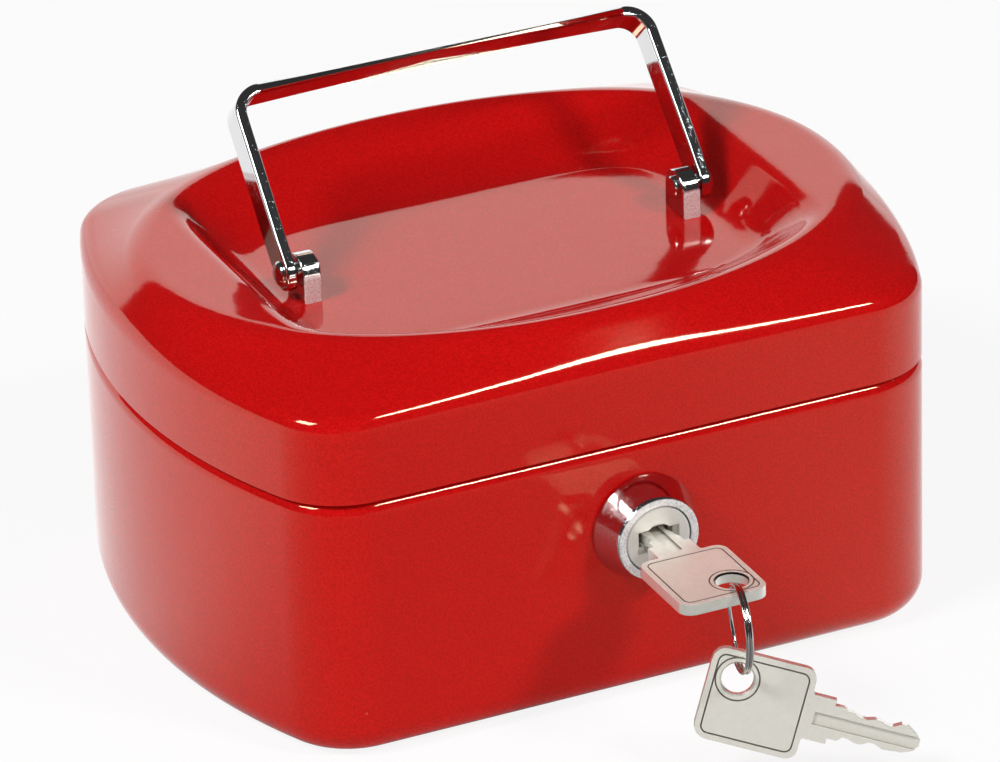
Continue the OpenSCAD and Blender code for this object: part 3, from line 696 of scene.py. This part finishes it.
def soft_corner(before, at, after, trim, steps=9):
    """A corner of the section as a parabola that starts trim away from it."""
    to_before, to_after = before - at, after - at
    start = at + to_before * min(0.46, trim / np.linalg.norm(to_before))
    end = at + to_after * min(0.46, trim / np.linalg.norm(to_after))
    return [start * (1 - u) ** 2 + at * 2 * u * (1 - u) + end * u * u
            for u in np.linspace(0, 1, steps)]


def lid_section(i, under):
    """The section's points, from the lower edge to near the middle of the floor."""
    c = lid_corners(i, under)
    bends = [soft_corner(c[k], c[k + 1], c[k + 2], SOFT_CORNERS[k]) for k in range(4)]
    points = [c[0], c[0] + (0, 0, 0.3), (c[0] + c[1]) / 2]
    for k, bend in enumerate(bends):
        if k:
            last = bends[k - 1][-1]
            points += [last + (bend[0] - last) * s for s in (0.08, 0.5, 0.92)]
        points += bend
    return points + [bends[-1][-1] * (s, s, 1) for s in (0.97, 0.6, 0.2)]


print("lid section:", len(lid_section(0, 0.0)), "points")


# %% Lid shell
def lid_shell():
    columns = range(len(plan))
    outer = [lid_section(i, 0.0) for i in columns]
    inner = [lid_section(i, SHEET) for i in columns]
    rows = range(len(outer[0]))
    rings = [[inner[i][k] for i in columns] for k in reversed(rows)]
    rings += [[outer[i][k] for i in columns] for k in rows]
    return solid("lid_body", *join_rings(rings))


piece(lid_shell(), "lid", "red_lacquer", ["lid_shell"])

# %% [markdown]
# ## Handle
#
# The handle is a flat chrome bar bent into a U. The bar is described by its
# middle line, half at a time, and a rounded rectangle follows it. At the
# pivot the bar narrows along a half circle, which makes the round eye.

# %% Handle
POST_X, PIVOT_Z, TILT = 39.7, 73.3, math.radians(43)
BAR_WIDTH, BAR_THICK, REACH, BEND, LEAN = 6.8, 2.3, 36.8, 6.0, math.radians(0.8)
LEG_OUTER, LEG_STRAIGHT, BAR_EDGE = 44.525, 6.1, 0.62


def handle_stations():
    """Half of the bar: middle point, its outward normal and half width."""
    middle_x = LEG_OUTER - BAR_THICK / 2
    rows = []
    for k in range(1, 11):
        a = math.radians(90 * k / 10)
        rows.append(((middle_x, -BAR_WIDTH / 2 * math.cos(a)), (1, 0), BAR_WIDTH / 2 * math.sin(a)))
    rows.append(((middle_x, LEG_STRAIGHT), (1, 0), BAR_WIDTH / 2))
    centre_y = REACH - BEND
    centre_x = LEG_OUTER - (centre_y - LEG_STRAIGHT) * math.tan(LEAN) - BEND / math.cos(LEAN)
    for k in range(17):
        a = LEAN + (math.pi / 2 - LEAN) * k / 16
        out = (math.cos(a), math.sin(a))
        reach = BEND - BAR_THICK / 2
        rows.append(((centre_x + reach * out[0], centre_y + reach * out[1]), out, BAR_WIDTH / 2))
    return rows


def bar_ring(middle, out, half_width):
    """A rounded rectangle across the bar."""
    half_thick = BAR_THICK / 2
    soft = min(BAR_EDGE, 0.95 * half_width)
    ring = []
    for sx, sy, start in ((1, 1, 0), (-1, 1, 90), (-1, -1, 180), (1, -1, 270)):
        for k in range(7):
            a = math.radians(start + 15 * k)
            across = sx * (half_thick - soft) + soft * math.cos(a)
            wide = sy * (half_width - soft) + soft * math.sin(a)
            ring.append((middle[0] + across * out[0], wide, middle[1] + across * out[1]))
    return ring


def handle_bar():
    rows = handle_stations()
    mirrored = [((-m[0], m[1]), (-o[0], o[1]), w) for m, o, w in rows[::-1]]
    rings = [bar_ring(*row) for row in rows]
    for m, o, w in mirrored:
        ring = bar_ring(m, o, w)
        rings.append([ring[(13 - k) % 28] for k in range(28)])
    bar = solid("handle_bar", *join_rings(rings))
    return move(bar, Matrix.Translation((0, 0, PIVOT_Z)) @ Matrix.Rotation(-TILT, 4, "X"))


piece(handle_bar(), "handle", "chrome", ["handle"], sharp=50)

# %% [markdown]
# ## Handle posts and rivets
#
# Each leg turns on a rivet through a small round-topped post. The post is a
# slab stood on edge. The rivet has a domed head outside the leg and a small
# closed head inside the post.

# %% Handle posts and rivets
POST_HEIGHT, POST_HALF, CLEAR = 8.8, 1.825, 0.03
AXES_TURNED = Matrix(((0, 0, 1, 0), (1, 0, 0, 0), (0, 1, 0, 0), (0, 0, 0, 1)))


def arch(radius, middle, stop, step):
    """Points on a circle about (0, middle), from the right and up."""
    angles = [math.radians(a) for a in range(0, stop, step)]
    return [(radius * math.cos(a), middle + radius * math.sin(a)) for a in angles]


def post(name, side):
    outline = [(-POST_RADIUS, CLEAR), (POST_RADIUS, CLEAR)]
    outline += arch(POST_RADIUS, POST_HEIGHT - POST_RADIUS, 181, 6)
    stand = Matrix.Translation((side * POST_X, 0, FLOOR_Z))
    made = slab(name, outline, -POST_HALF, POST_HALF, 0.32, 4, stand @ AXES_TURNED)
    foot = turned("foot", [(0, -2.86), (2.0, -2.86), (2.4, -2.5), (2.4, -1.96),
                           (1.6, -1.96), (1.6, 0.5), (0, 0.5)], stand, 40)
    return carve(made, foot, how="UNION")


def rivet(name, side):
    head, tail = LEG_OUTER + CLEAR, POST_X - POST_HALF - CLEAR
    pin, dome_radius, dome_height = 1.5, 2.5, 1.2
    profile = [(0, tail - 0.7), (1.9, tail - 0.7), (2.2, tail - 0.45), (2.2, tail),
               (pin, tail), (pin, head), (2.35, head)]
    profile += [(dome_radius * x, head + dome_height * y) for x, y in arch(1, 0, 90, 10)]
    along = Matrix.Translation((0, 0, PIVOT_Z)) @ Matrix.Rotation(math.radians(90 * side), 4, "Y")
    return turned(name, profile + [(0, head + dome_height)], along, 48)


for side, word in ((-1, "left"), (1, "right")):
    piece(post(f"{word}_post", side), "lid", "chrome", [f"{word}_handle_post"], "post_chrome")
    piece(rivet(f"{word}_rivet", side), "lid", "chrome", [f"{word}_handle_rivet"], "rivet_chrome")

# %% [markdown]
# ## Lock housing
#
# The housing is a turned part: a cone outside the box, a polished ring round
# its face, a bore for the plug and a threaded barrel behind the front wall.
# The thread is a row of small ridges on the profile.

# %% Lock housing
THREAD_START, THREAD_PITCH, THREAD_TURNS = -55.6, 1.05, 9


def lock_housing():
    """The profile runs from the bore over the face and the cone to the barrel."""
    face = [(6.64, -64.2), (6.76, -64.44), (6.94, -64.54), (7.88, BEZEL_FACE), (8.14, -64.46),
            (8.36, -64.15), (8.52, -63.7)]
    cone = [(10.42, -58.5), (10.5, -58.25), (10.5, -57.63), (7.95, -57.63), (7.95, -56.2)]
    thread = []
    for k in range(THREAD_TURNS):
        y = THREAD_START + THREAD_PITCH * k
        thread += [(8.0, y), (7.72, y + 0.5)]
    end = [(7.9, -46.2), (7.7, -46.0), (6.62, -46.0)]
    return turned("lock_bezel", face + cone + thread + end, to_front, 96)


piece(lock_housing(), "base", "chrome", ["lock_housing"], "bezel_chrome", sharp=32)

# %% [markdown]
# ## Lock plug
#
# The plug turns in the housing. Its face has a wide mouth that guides the
# key and a round throat behind it. The keyway runs the length of the plug,
# past the four slots of the wafers, and the cam's screw goes into a bore at
# the back. Cutting all this from a turned blank is what a lathe and a broach
# would do.

# %% Lock plug
PLUG_FACE, PLUG_BACK, AHEAD = -64.35, -45.7, -65.4  # cutters start ahead of the face
FIRST_SLOT, SLOT_PITCH, SLOT_WIDTH, SLOTS = -61.2, 2.9, 0.8, 4


def across_lock(name, half_x, half_z, front, back):
    """A block centred on the lock's axis."""
    return block(name, (LOCK_X - half_x, front, LOCK_Z - half_z),
                 (LOCK_X + half_x, back, LOCK_Z + half_z))


def bored(name, radius, front, back, steps):
    """A cutter for a round hole on the lock's axis."""
    profile = [(0, front), (radius, front), (radius, back), (0, back)]
    return turned(name, profile, to_front, steps)


def lock_plug():
    blank = turned("lock_plug_core", [(0, PLUG_FACE), (6.1, PLUG_FACE), (6.4, -64.25),
                                      (6.55, -64.05), (6.55, PLUG_BACK), (0, PLUG_BACK)], to_front)
    carve(blank, across_lock("tail", 3, 3, -46.2, -44.27), how="UNION")
    mouth = across_lock("mouth", 4.3, 2.3, AHEAD, -63.05)
    keyway = across_lock("keyway", 3.5, 1.4, AHEAD, -48.14)
    throat = bored("throat", 3.1, AHEAD, -61.75, 48)
    screw_bore = bored("screw_bore", 1.55, -47.84, -43, 32)
    starts = [FIRST_SLOT + SLOT_PITCH * k for k in range(SLOTS)]
    slots = [across_lock("slot", 7.6, 3.15, y, y + SLOT_WIDTH) for y in starts]
    return carve(blank, mouth, keyway, throat, screw_bore, *slots)


piece(lock_plug(), "lock_plug", "nickel_plug", ["lock_plug"], sharp=30)

# %% [markdown]
# ## Keys
#
# Both keys are the same flat nickel-silver blank. The outline is drawn once:
# a rounded bow with its hole off to one side, a short shank, and a blade that
# is cut in steps along both edges. A fine border is pressed into both faces
# of the bow, a fine ring is pressed round the hole, and a wide shallow groove
# runs down the blade.

# %% Key outline
KEY_THICK, BOW_WIDTH, BOW_LENGTH, SHANK = 2.2, 17.7, 19.6, 4.8
BLADE_WIDTH, BLADE_LENGTH, BLADE_START = 6.4, 16.6, 1.6
BOW_LOW, BOW_HIGH, BOW_SIDE, BOW_CORNER = -SHANK - BOW_LENGTH, -SHANK, BOW_WIDTH / 2, 2.6
HOLE_AT, HOLE_RADIUS = (BOW_SIDE - 5.25, BOW_LOW + 5.5), 3


def blade_edge(cuts, side):
    """One edge of the blade, from the shank to the tip."""
    step = (BLADE_LENGTH - 4) / len(cuts)
    made = [(side * BLADE_WIDTH / 2, BLADE_START)]
    for k, cut in enumerate(cuts):
        for share in (0.35, 0.75):
            made.append((side * (BLADE_WIDTH / 2 - cut), BLADE_START + step * (k + share)))
    return made + [(side * BLADE_WIDTH / 4, BLADE_LENGTH - 1), (side * 0.6, BLADE_LENGTH)]


def key_outline():
    shank, step_y = 4.3, -0.2
    corners = [(-BOW_SIDE, BOW_LOW, BOW_CORNER), (BOW_SIDE, BOW_LOW, BOW_CORNER),
               (BOW_SIDE, BOW_HIGH, BOW_CORNER), (shank, BOW_HIGH, 0.5), (shank, step_y, 0.0),
               (BLADE_WIDTH / 2, step_y, 0.0)]
    corners += [(x, y, 0.0) for x, y in blade_edge((0.5, 1.1, 0.7, 1.2, 0.3), 1)]
    corners += [(x, y, 0.0) for x, y in blade_edge((0.9, 0.4, 1.2, 0.6, 0.8), -1)[::-1]]
    corners += [(-BLADE_WIDTH / 2, step_y, 0.0), (-shank, step_y, 0.0), (-shank, BOW_HIGH, 0.5),
                (-BOW_SIDE, BOW_HIGH, BOW_CORNER)]
    return rounded(corners, 4)


print("key outline:", len(key_outline()), "points")

# %% [markdown]
# The flat faces of a key are dull, its edges are rubbed bright, and the
# pressed lines and the walls of the blade's groove are painted darker as
# shade. Each cutter therefore brings its own finish, and the boolean passes
# it on to the faces that the cutter leaves behind.

# %% Key blank
# A key's faces take flat metal, painted shade in pressed lines and groove walls, or bright edges.
FLAT, SHADED_LINE, EDGE = range(3)
LINE_DEPTH, OVER = 0.16, 0.3  # how deep a line is pressed, how far its cutter stands out


def surfaced(made, choose):
    """Sorts a solid's faces into flat metal, painted shade in pressed lines, and bright edges."""
    for finish in ("nickel_silver", "painted_line_shade", "key_edge"):
        made.data.materials.append(FINISHES[finish])
    for face in made.data.polygons:
        face.material_index = choose(face.normal)
    return made


def border_line(z):
    """A fine channel that follows the edge of the bow."""
    path = rounded([(-BOW_SIDE, BOW_LOW, BOW_CORNER), (BOW_SIDE, BOW_LOW, BOW_CORNER),
                    (BOW_SIDE, BOW_HIGH, BOW_CORNER), (-BOW_SIDE, BOW_HIGH, BOW_CORNER)], 6)
    rings = []
    for across, lift in ((1.05, 0.2), (1.40, 0.2), (1.35, -LINE_DEPTH), (1.10, -LINE_DEPTH)):
        rings.append([(x, y, z + (lift if z > 0 else -lift)) for x, y in inset(path, across)])
    return solid("border_line", *join_rings(rings, loop=True))


def key_blank(name):
    half = KEY_THICK / 2
    blank = surfaced(slab(name, key_outline(), -half, half, 0.14),
                     lambda n: EDGE if abs(n.z) < 0.8 else FLAT)
    middle = Matrix.Translation((*HOLE_AT, 0))
    eye = turned("eye", [(0, -3), (HOLE_RADIUS, -3), (HOLE_RADIUS, 3), (0, 3)], middle, 64)
    tools = [surfaced(eye, lambda n: EDGE)]
    for face in (-1, 1):
        low, high = sorted((face * (half - 0.5), face * 3))
        groove = block("groove", (-1.2, -3.6, low), (1.2, 20.3, high))
        over_hole = middle @ Matrix.Scale(face, 4, (0, 0, 1))
        line_floor, over = half - LINE_DEPTH, half + OVER
        hole_line = turned("hole_line", [(3.95, line_floor), (4.22, line_floor), (4.26, over),
                                         (3.91, over)], over_hole, 64)
        lead_in = turned("lead_in", [(0, half - 0.34), (2.98, half - 0.34), (3.6, over),
                                     (0, over)], over_hole, 64)
        # The groove's walls and the pressed lines take the painted shade.
        tools += [surfaced(groove, lambda n: SHADED_LINE if abs(n.x) > 0.9 else FLAT),
                  surfaced(border_line(face * half), lambda n: SHADED_LINE),
                  surfaced(hole_line, lambda n: SHADED_LINE), surfaced(lead_in, lambda n: EDGE)]
    return carve(blank, *tools)


print("key length:", round(SHANK + BOW_LENGTH + BLADE_LENGTH, 1), "mm")

# %% Key in the lock
key = move(key_blank("key_in_use"), Matrix.Translation((LOCK_X, -68.25, LOCK_Z)))
piece(key, "key", "nickel_silver", ["key_in_lock"], sharp=28)

# %% [markdown]
# The spare key hangs by its hole. Its place is a row of turns about the
# point where it hangs: how it lies against the ring, then how the blank is
# stood up from the drawing.

# %% Spare key
hang = Matrix.Translation((4.05, -92.45, 19.21))
for angle, axis in ((-24.3, "Z"), (-13, "X"), (16.4, "Y"), (-90, "Y"), (-90, "X")):
    hang = hang @ Matrix.Rotation(math.radians(angle), 4, axis)
spare = move(key_blank("key_spare"), hang @ Matrix.Translation((-HOLE_AT[0], -HOLE_AT[1], 0)))
piece(spare, "spare_key", "nickel_silver", ["spare_key"], sharp=28)

# %% [markdown]
# ## Split ring
#
# A split ring is one springy wire wound more than one and a half times round.
# It keeps to one side for the first turn, and crosses to the other side
# where it runs single, between its two ends.

# %% Split ring
WIND_RADIUS, WIRE_RADIUS, ASIDE = 8.1, 0.36, 0.367
WIRE_START, WIRE_END, CROSS_AT, CROSS_OVER = 62, 658, 315, 90  # degrees round the ring


def split_ring(steps=240, around=14):
    axis, rings = np.array((0.0, 1.0, 0.0)), []
    spins = np.linspace(0, 2 * math.pi, around, endpoint=False)
    for k in range(steps + 1):
        a = WIRE_START + (WIRE_END - WIRE_START) * k / steps
        cross = min(max((a - CROSS_AT) / CROSS_OVER, 0.0), 1.0)
        shift = ASIDE * (2 * cross * cross * (3 - 2 * cross) - 1)
        out = np.array((math.cos(math.radians(a)), 0.0, math.sin(math.radians(a))))
        middle = WIND_RADIUS * out + shift * axis
        thick = WIRE_RADIUS * (1.0 if 2 < k < steps - 2 else 0.82)  # the ends are filed
        rings.append([middle + thick * (math.cos(b) * out + math.sin(b) * axis) for b in spins])
    place = Matrix.Translation((4.65, -92.45, 29.18))
    turn = Matrix.Rotation(math.radians(90 - 13.4), 4, "Z")
    return move(solid("split_ring", *join_rings(rings)), place @ turn)


piece(split_ring(), "ring", "steel_ring", ["key_ring"], sharp=60)

# %% [markdown]
# ## Coin tray
#
# The tray hangs by a thin flange on the base's upstand. It is one moulding
# with six pockets between thin walls, whose outer sides follow the bowed
# outline of the box, and a notch at the front for the lock.

# %% Tray pockets
TRAY_TOP, TRAY_LOW, TRAY_FLOOR_Z, TRAY_WALL = 59.53, 31.0, 32.5, 1.4
TRAY_IN, FLANGE_IN = 3.4, 2.05  # how far inside the box's outline they are
HALF_WALL, MIDDLE_HALF = TRAY_WALL / 2, 25.0
NOTCH_LEFT, NOTCH_RIGHT, NOTCH_BACK = -20.3, 24.7, -39.57


def plan_inside(inward):
    """The box's outline moved in, as flat points."""
    return [(x, y) for x, y, _ in level(inward, 0)]


def clip(outline, low, high):
    """The part of a convex outline inside a rectangle."""
    points = [Vector(p) for p in outline]
    for axis, limit, sign in ((0, low[0], 1), (0, high[0], -1), (1, low[1], 1), (1, high[1], -1)):
        kept = []
        for a, b in zip(points, points[1:] + points[:1]):
            da, db = sign * (a[axis] - limit), sign * (b[axis] - limit)
            if da >= 0:
                kept.append(a)
            if da * db < 0:
                kept.append(a + (b - a) * (da / (da - db)))
        points = kept
    return [(p.x, p.y) for p in points]


def pocket(low, high):
    """A cutter for one pocket of the tray, clear of its outer wall."""
    outline = clip(plan_inside(TRAY_IN + TRAY_WALL), low, high)
    return slab("pocket", outline, TRAY_FLOOR_Z, 90.0)


def all_pockets():
    """Three pockets at the back, one each side of the notch, one behind it."""
    x, y = HALF_LENGTH, HALF_WIDTH
    outer_wall, inner_wall = MIDDLE_HALF + HALF_WALL, MIDDLE_HALF - HALF_WALL
    spans = [((-x, HALF_WALL), (-outer_wall, y)), ((-inner_wall, HALF_WALL), (inner_wall, y)),
             ((outer_wall, HALF_WALL), (x, y)), ((-x, -y), (NOTCH_LEFT - TRAY_WALL, -HALF_WALL)),
             ((NOTCH_RIGHT + TRAY_WALL, -y), (x, -HALF_WALL)),
             ((NOTCH_LEFT, NOTCH_BACK + TRAY_WALL), (NOTCH_RIGHT, -HALF_WALL))]
    return [pocket(*span) for span in spans]


print("pocket depth:", round(TRAY_TOP - TRAY_FLOOR_Z, 1), "mm")


# %% Coin tray
def coin_tray():
    body = slab("tray_body", plan_inside(TRAY_IN), TRAY_LOW, TRAY_TOP, 0.5)
    flange = slab("flange", plan_inside(FLANGE_IN), UPSTAND_TOP + CLEAR, TRAY_TOP, 0.4)
    carve(body, flange, how="UNION")
    notch = block("notch", (NOTCH_LEFT, -60, 20), (NOTCH_RIGHT, NOTCH_BACK, 70))
    return carve(body, *all_pockets(), notch)


piece(coin_tray(), "tray", "black_plastic", ["coin_tray"])

# %% [markdown]
# ## Small hardware
#
# Hinge leaves, pins, washers, the lock nut, the cam and its screw, the wafers
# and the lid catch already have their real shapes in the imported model. They
# keep them: flat facets are merged, a fine bevel breaks the edges so that
# they catch the light, and each gets its finish.

# %% Small hardware
HARDWARE = {
    "red_lacquer": ["left_hinge_base_leaf", "left_hinge_lid_leaf", "right_hinge_base_leaf",
                    "right_hinge_lid_leaf", "lid_catch"],
    "steel_pin": ["left_hinge_pin", "right_hinge_pin"],
    "zinc_steel": ["left_post_washer", "right_post_washer", "lock_nut", "lock_cam",
                   "lock_cam_screw"],
    "brass_wafer": ["lock_wafer_1", "lock_wafer_2", "lock_wafer_3", "lock_wafer_4"],
}
FINE_EDGE, EDGE_WIDTH = 0.06, 0.15


def refine(node, finish, edge):
    """Merges flat facets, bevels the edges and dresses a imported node."""
    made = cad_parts[node]
    made.data.materials.clear()
    made.data.materials.append(finish)
    weld = made.modifiers.new("weld", "WELD")
    weld.merge_threshold = 0.005 * MM
    flatten = made.modifiers.new("flatten", "DECIMATE")
    flatten.decimate_type, flatten.angle_limit = "DISSOLVE", math.radians(1.0)
    bevel = made.modifiers.new("bevel", "BEVEL")
    bevel.width, bevel.segments, bevel.limit_method = edge * MM, 2, "ANGLE"
    bevel.angle_limit = math.radians(50)
    weigh = made.modifiers.new("weigh", "WEIGHTED_NORMAL")
    weigh.keep_sharp = True


for slot_name, nodes in HARDWARE.items():
    for node in nodes:
        small = "wafer" in node or "pin" in node
        refine(node, FINISHES[slot_name], FINE_EDGE if small else EDGE_WIDTH)
    print(slot_name, "on", len(nodes), "packed nodes")

# %% [markdown]
# ## Studio
#
# The box stands on a plain white table. Gloss paint and chrome show the room
# more than their own colour, so the room matters. This one is dark, with one
# white backdrop behind the table, a soft box at the front right, another at
# the left, and a weak fill in front that mirrors don't show. What mirrors see
# of the table is a painted glow: bright, with a painted shade in front of the
# box, where somebody would stand. To the camera, the table is plain white,
# with the shadow of the box on it, and clear from below, so that the underside
# of the box can be looked at too.

# %% Table
# Mirrors see shade painted on the table in this direction.
SHADED_WAY = (-0.37, -0.93, 0.0)  # from the box to where the table lies in shade
PLAIN_SHARE = 0.88  # the rest of what the camera sees is paper, which takes the shadow
BELOW_BOX = -0.0001  # in metres, so that the table and the box's bottom don't coincide


def table_top():
    f = Finish("table_top")
    paper = f.node("ShaderNodeBsdfDiffuse", {}, {"Color": (0.90, 0.90, 0.90, 1.0)})
    plain = f.node("ShaderNodeEmission", {}, {"Color": (1.0, 1.0, 1.0, 1.0)})
    where = f.node("ShaderNodeNewGeometry")
    way = f.node("ShaderNodeVectorMath", {"operation": "NORMALIZE"}, {0: where})
    facing = f.node("ShaderNodeVectorMath", {"operation": "DOT_PRODUCT"},
                    {0: way, 1: SHADED_WAY}, output=1)
    # painted glow and painted shade on the table, seen only by glossy rays
    grey = f.blend(f.step(facing, 0.15, 1.02), (1.15, 1.15, 1.15), (0.24, 0.24, 0.24))
    mirrored = f.node("ShaderNodeEmission", {}, {"Color": grey})
    camera_ray = f.node("ShaderNodeLightPath")
    glossy_ray = f.node("ShaderNodeLightPath", output=3)
    looked_at = f.node("ShaderNodeMixShader", {}, {
        0: camera_ray * PLAIN_SHARE, 1: paper, 2: plain})
    from_above = f.node("ShaderNodeMixShader", {}, {0: glossy_ray, 1: looked_at, 2: mirrored})
    from_below = f.node("ShaderNodeNewGeometry", output=6)
    clear = f.node("ShaderNodeBsdfTransparent")
    either = f.node("ShaderNodeMixShader", {}, {0: from_below, 1: from_above, 2: clear})
    f.node("ShaderNodeOutputMaterial", {}, {"Surface": either})
    return f.owner


bpy.ops.mesh.primitive_plane_add(size=12.0, location=(0.0, 0.0, BELOW_BOX))
table = bpy.context.object
table.name = "table_top"
table.data.materials.append(table_top())
print("table:", round(table.dimensions.x, 1), "m across")

# %% [markdown]
# The room is the world. Its backdrop is a bright shape in one direction with
# soft edges: a direction is turned so that the backdrop lies ahead, and the
# two ways aside are squared and added, which makes an oval. The camera sees
# plain white instead of the dark room.

# %% World
BACKDROP_AT = 169.0  # degrees round the box
BACKDROP_SIDE, BACKDROP_TOP, BACKDROP_GLOW, ROOM_GLOW = 0.80, 0.66, 1.4, 0.04
sky = Finish("studio", bpy.data.worlds)
bpy.context.scene.world = sky.owner
ahead = sky.node("ShaderNodeMapping", {}, {
    "Vector": sky.node("ShaderNodeTexCoord"),
    "Rotation": (0.0, 0.0, math.radians(90.0 - BACKDROP_AT))})
axes = [sky.node("ShaderNodeSeparateXYZ", {}, {"Vector": ahead}, k) for k in range(3)]
depth = axes[0].at_least(0.02)
aside = axes[1] / depth / BACKDROP_SIDE
aloft = axes[2] / depth / BACKDROP_TOP
backdrop = sky.step(aside * aside + aloft * aloft, 0.92, 1.02, BACKDROP_GLOW, ROOM_GLOW)
seen = sky.node("ShaderNodeLightPath").at_least(backdrop)
glow = sky.node("ShaderNodeBackground", {}, {"Color": (1.0, 1.0, 1.0, 1.0), "Strength": seen})
sky.node("ShaderNodeOutputWorld", {}, {"Surface": glow})
print("world nodes:", len(sky.tree.nodes))

# %% [markdown]
# The lamps are large and close, as soft boxes are, so that highlights have
# soft edges. Each is placed by how far round and how high it is, and aimed at
# the middle of the box. The fill is hidden from mirrors: it only lifts the
# front.

# %% Soft boxes
AIM = Vector((0.0, 0.0, 0.04))


def soft_box(name, azimuth, elevation, distance, size, power, mirrored=True):
    """A lamp at an azimuth from the front, positive to the right, aimed at the box."""
    lamp = bpy.data.lights.new(name, "AREA")
    lamp.shape = "RECTANGLE"
    lamp.size, lamp.size_y = size
    lamp.energy = power
    made = bpy.data.objects.new(name, lamp)
    a, e = math.radians(azimuth), math.radians(elevation)
    arm = Vector((math.sin(a) * math.cos(e), -math.cos(a) * math.cos(e), math.sin(e))) * distance
    made.location = AIM + arm
    made.rotation_euler = (-arm).to_track_quat("-Z", "Y").to_euler()
    made.visible_glossy = mirrored
    bpy.context.scene.collection.objects.link(made)


soft_box("front_right_box", 31.0, 43.0, 1.6, (0.30, 0.19), 11.4)
soft_box("left_box", -76.0, 46.0, 1.6, (0.50, 0.40), 17.4)
soft_box("front_fill", -10.0, 12.0, 2.0, (1.6, 0.8), 8.7, mirrored=False)
bpy.context.scene.view_settings.view_transform = "Standard"
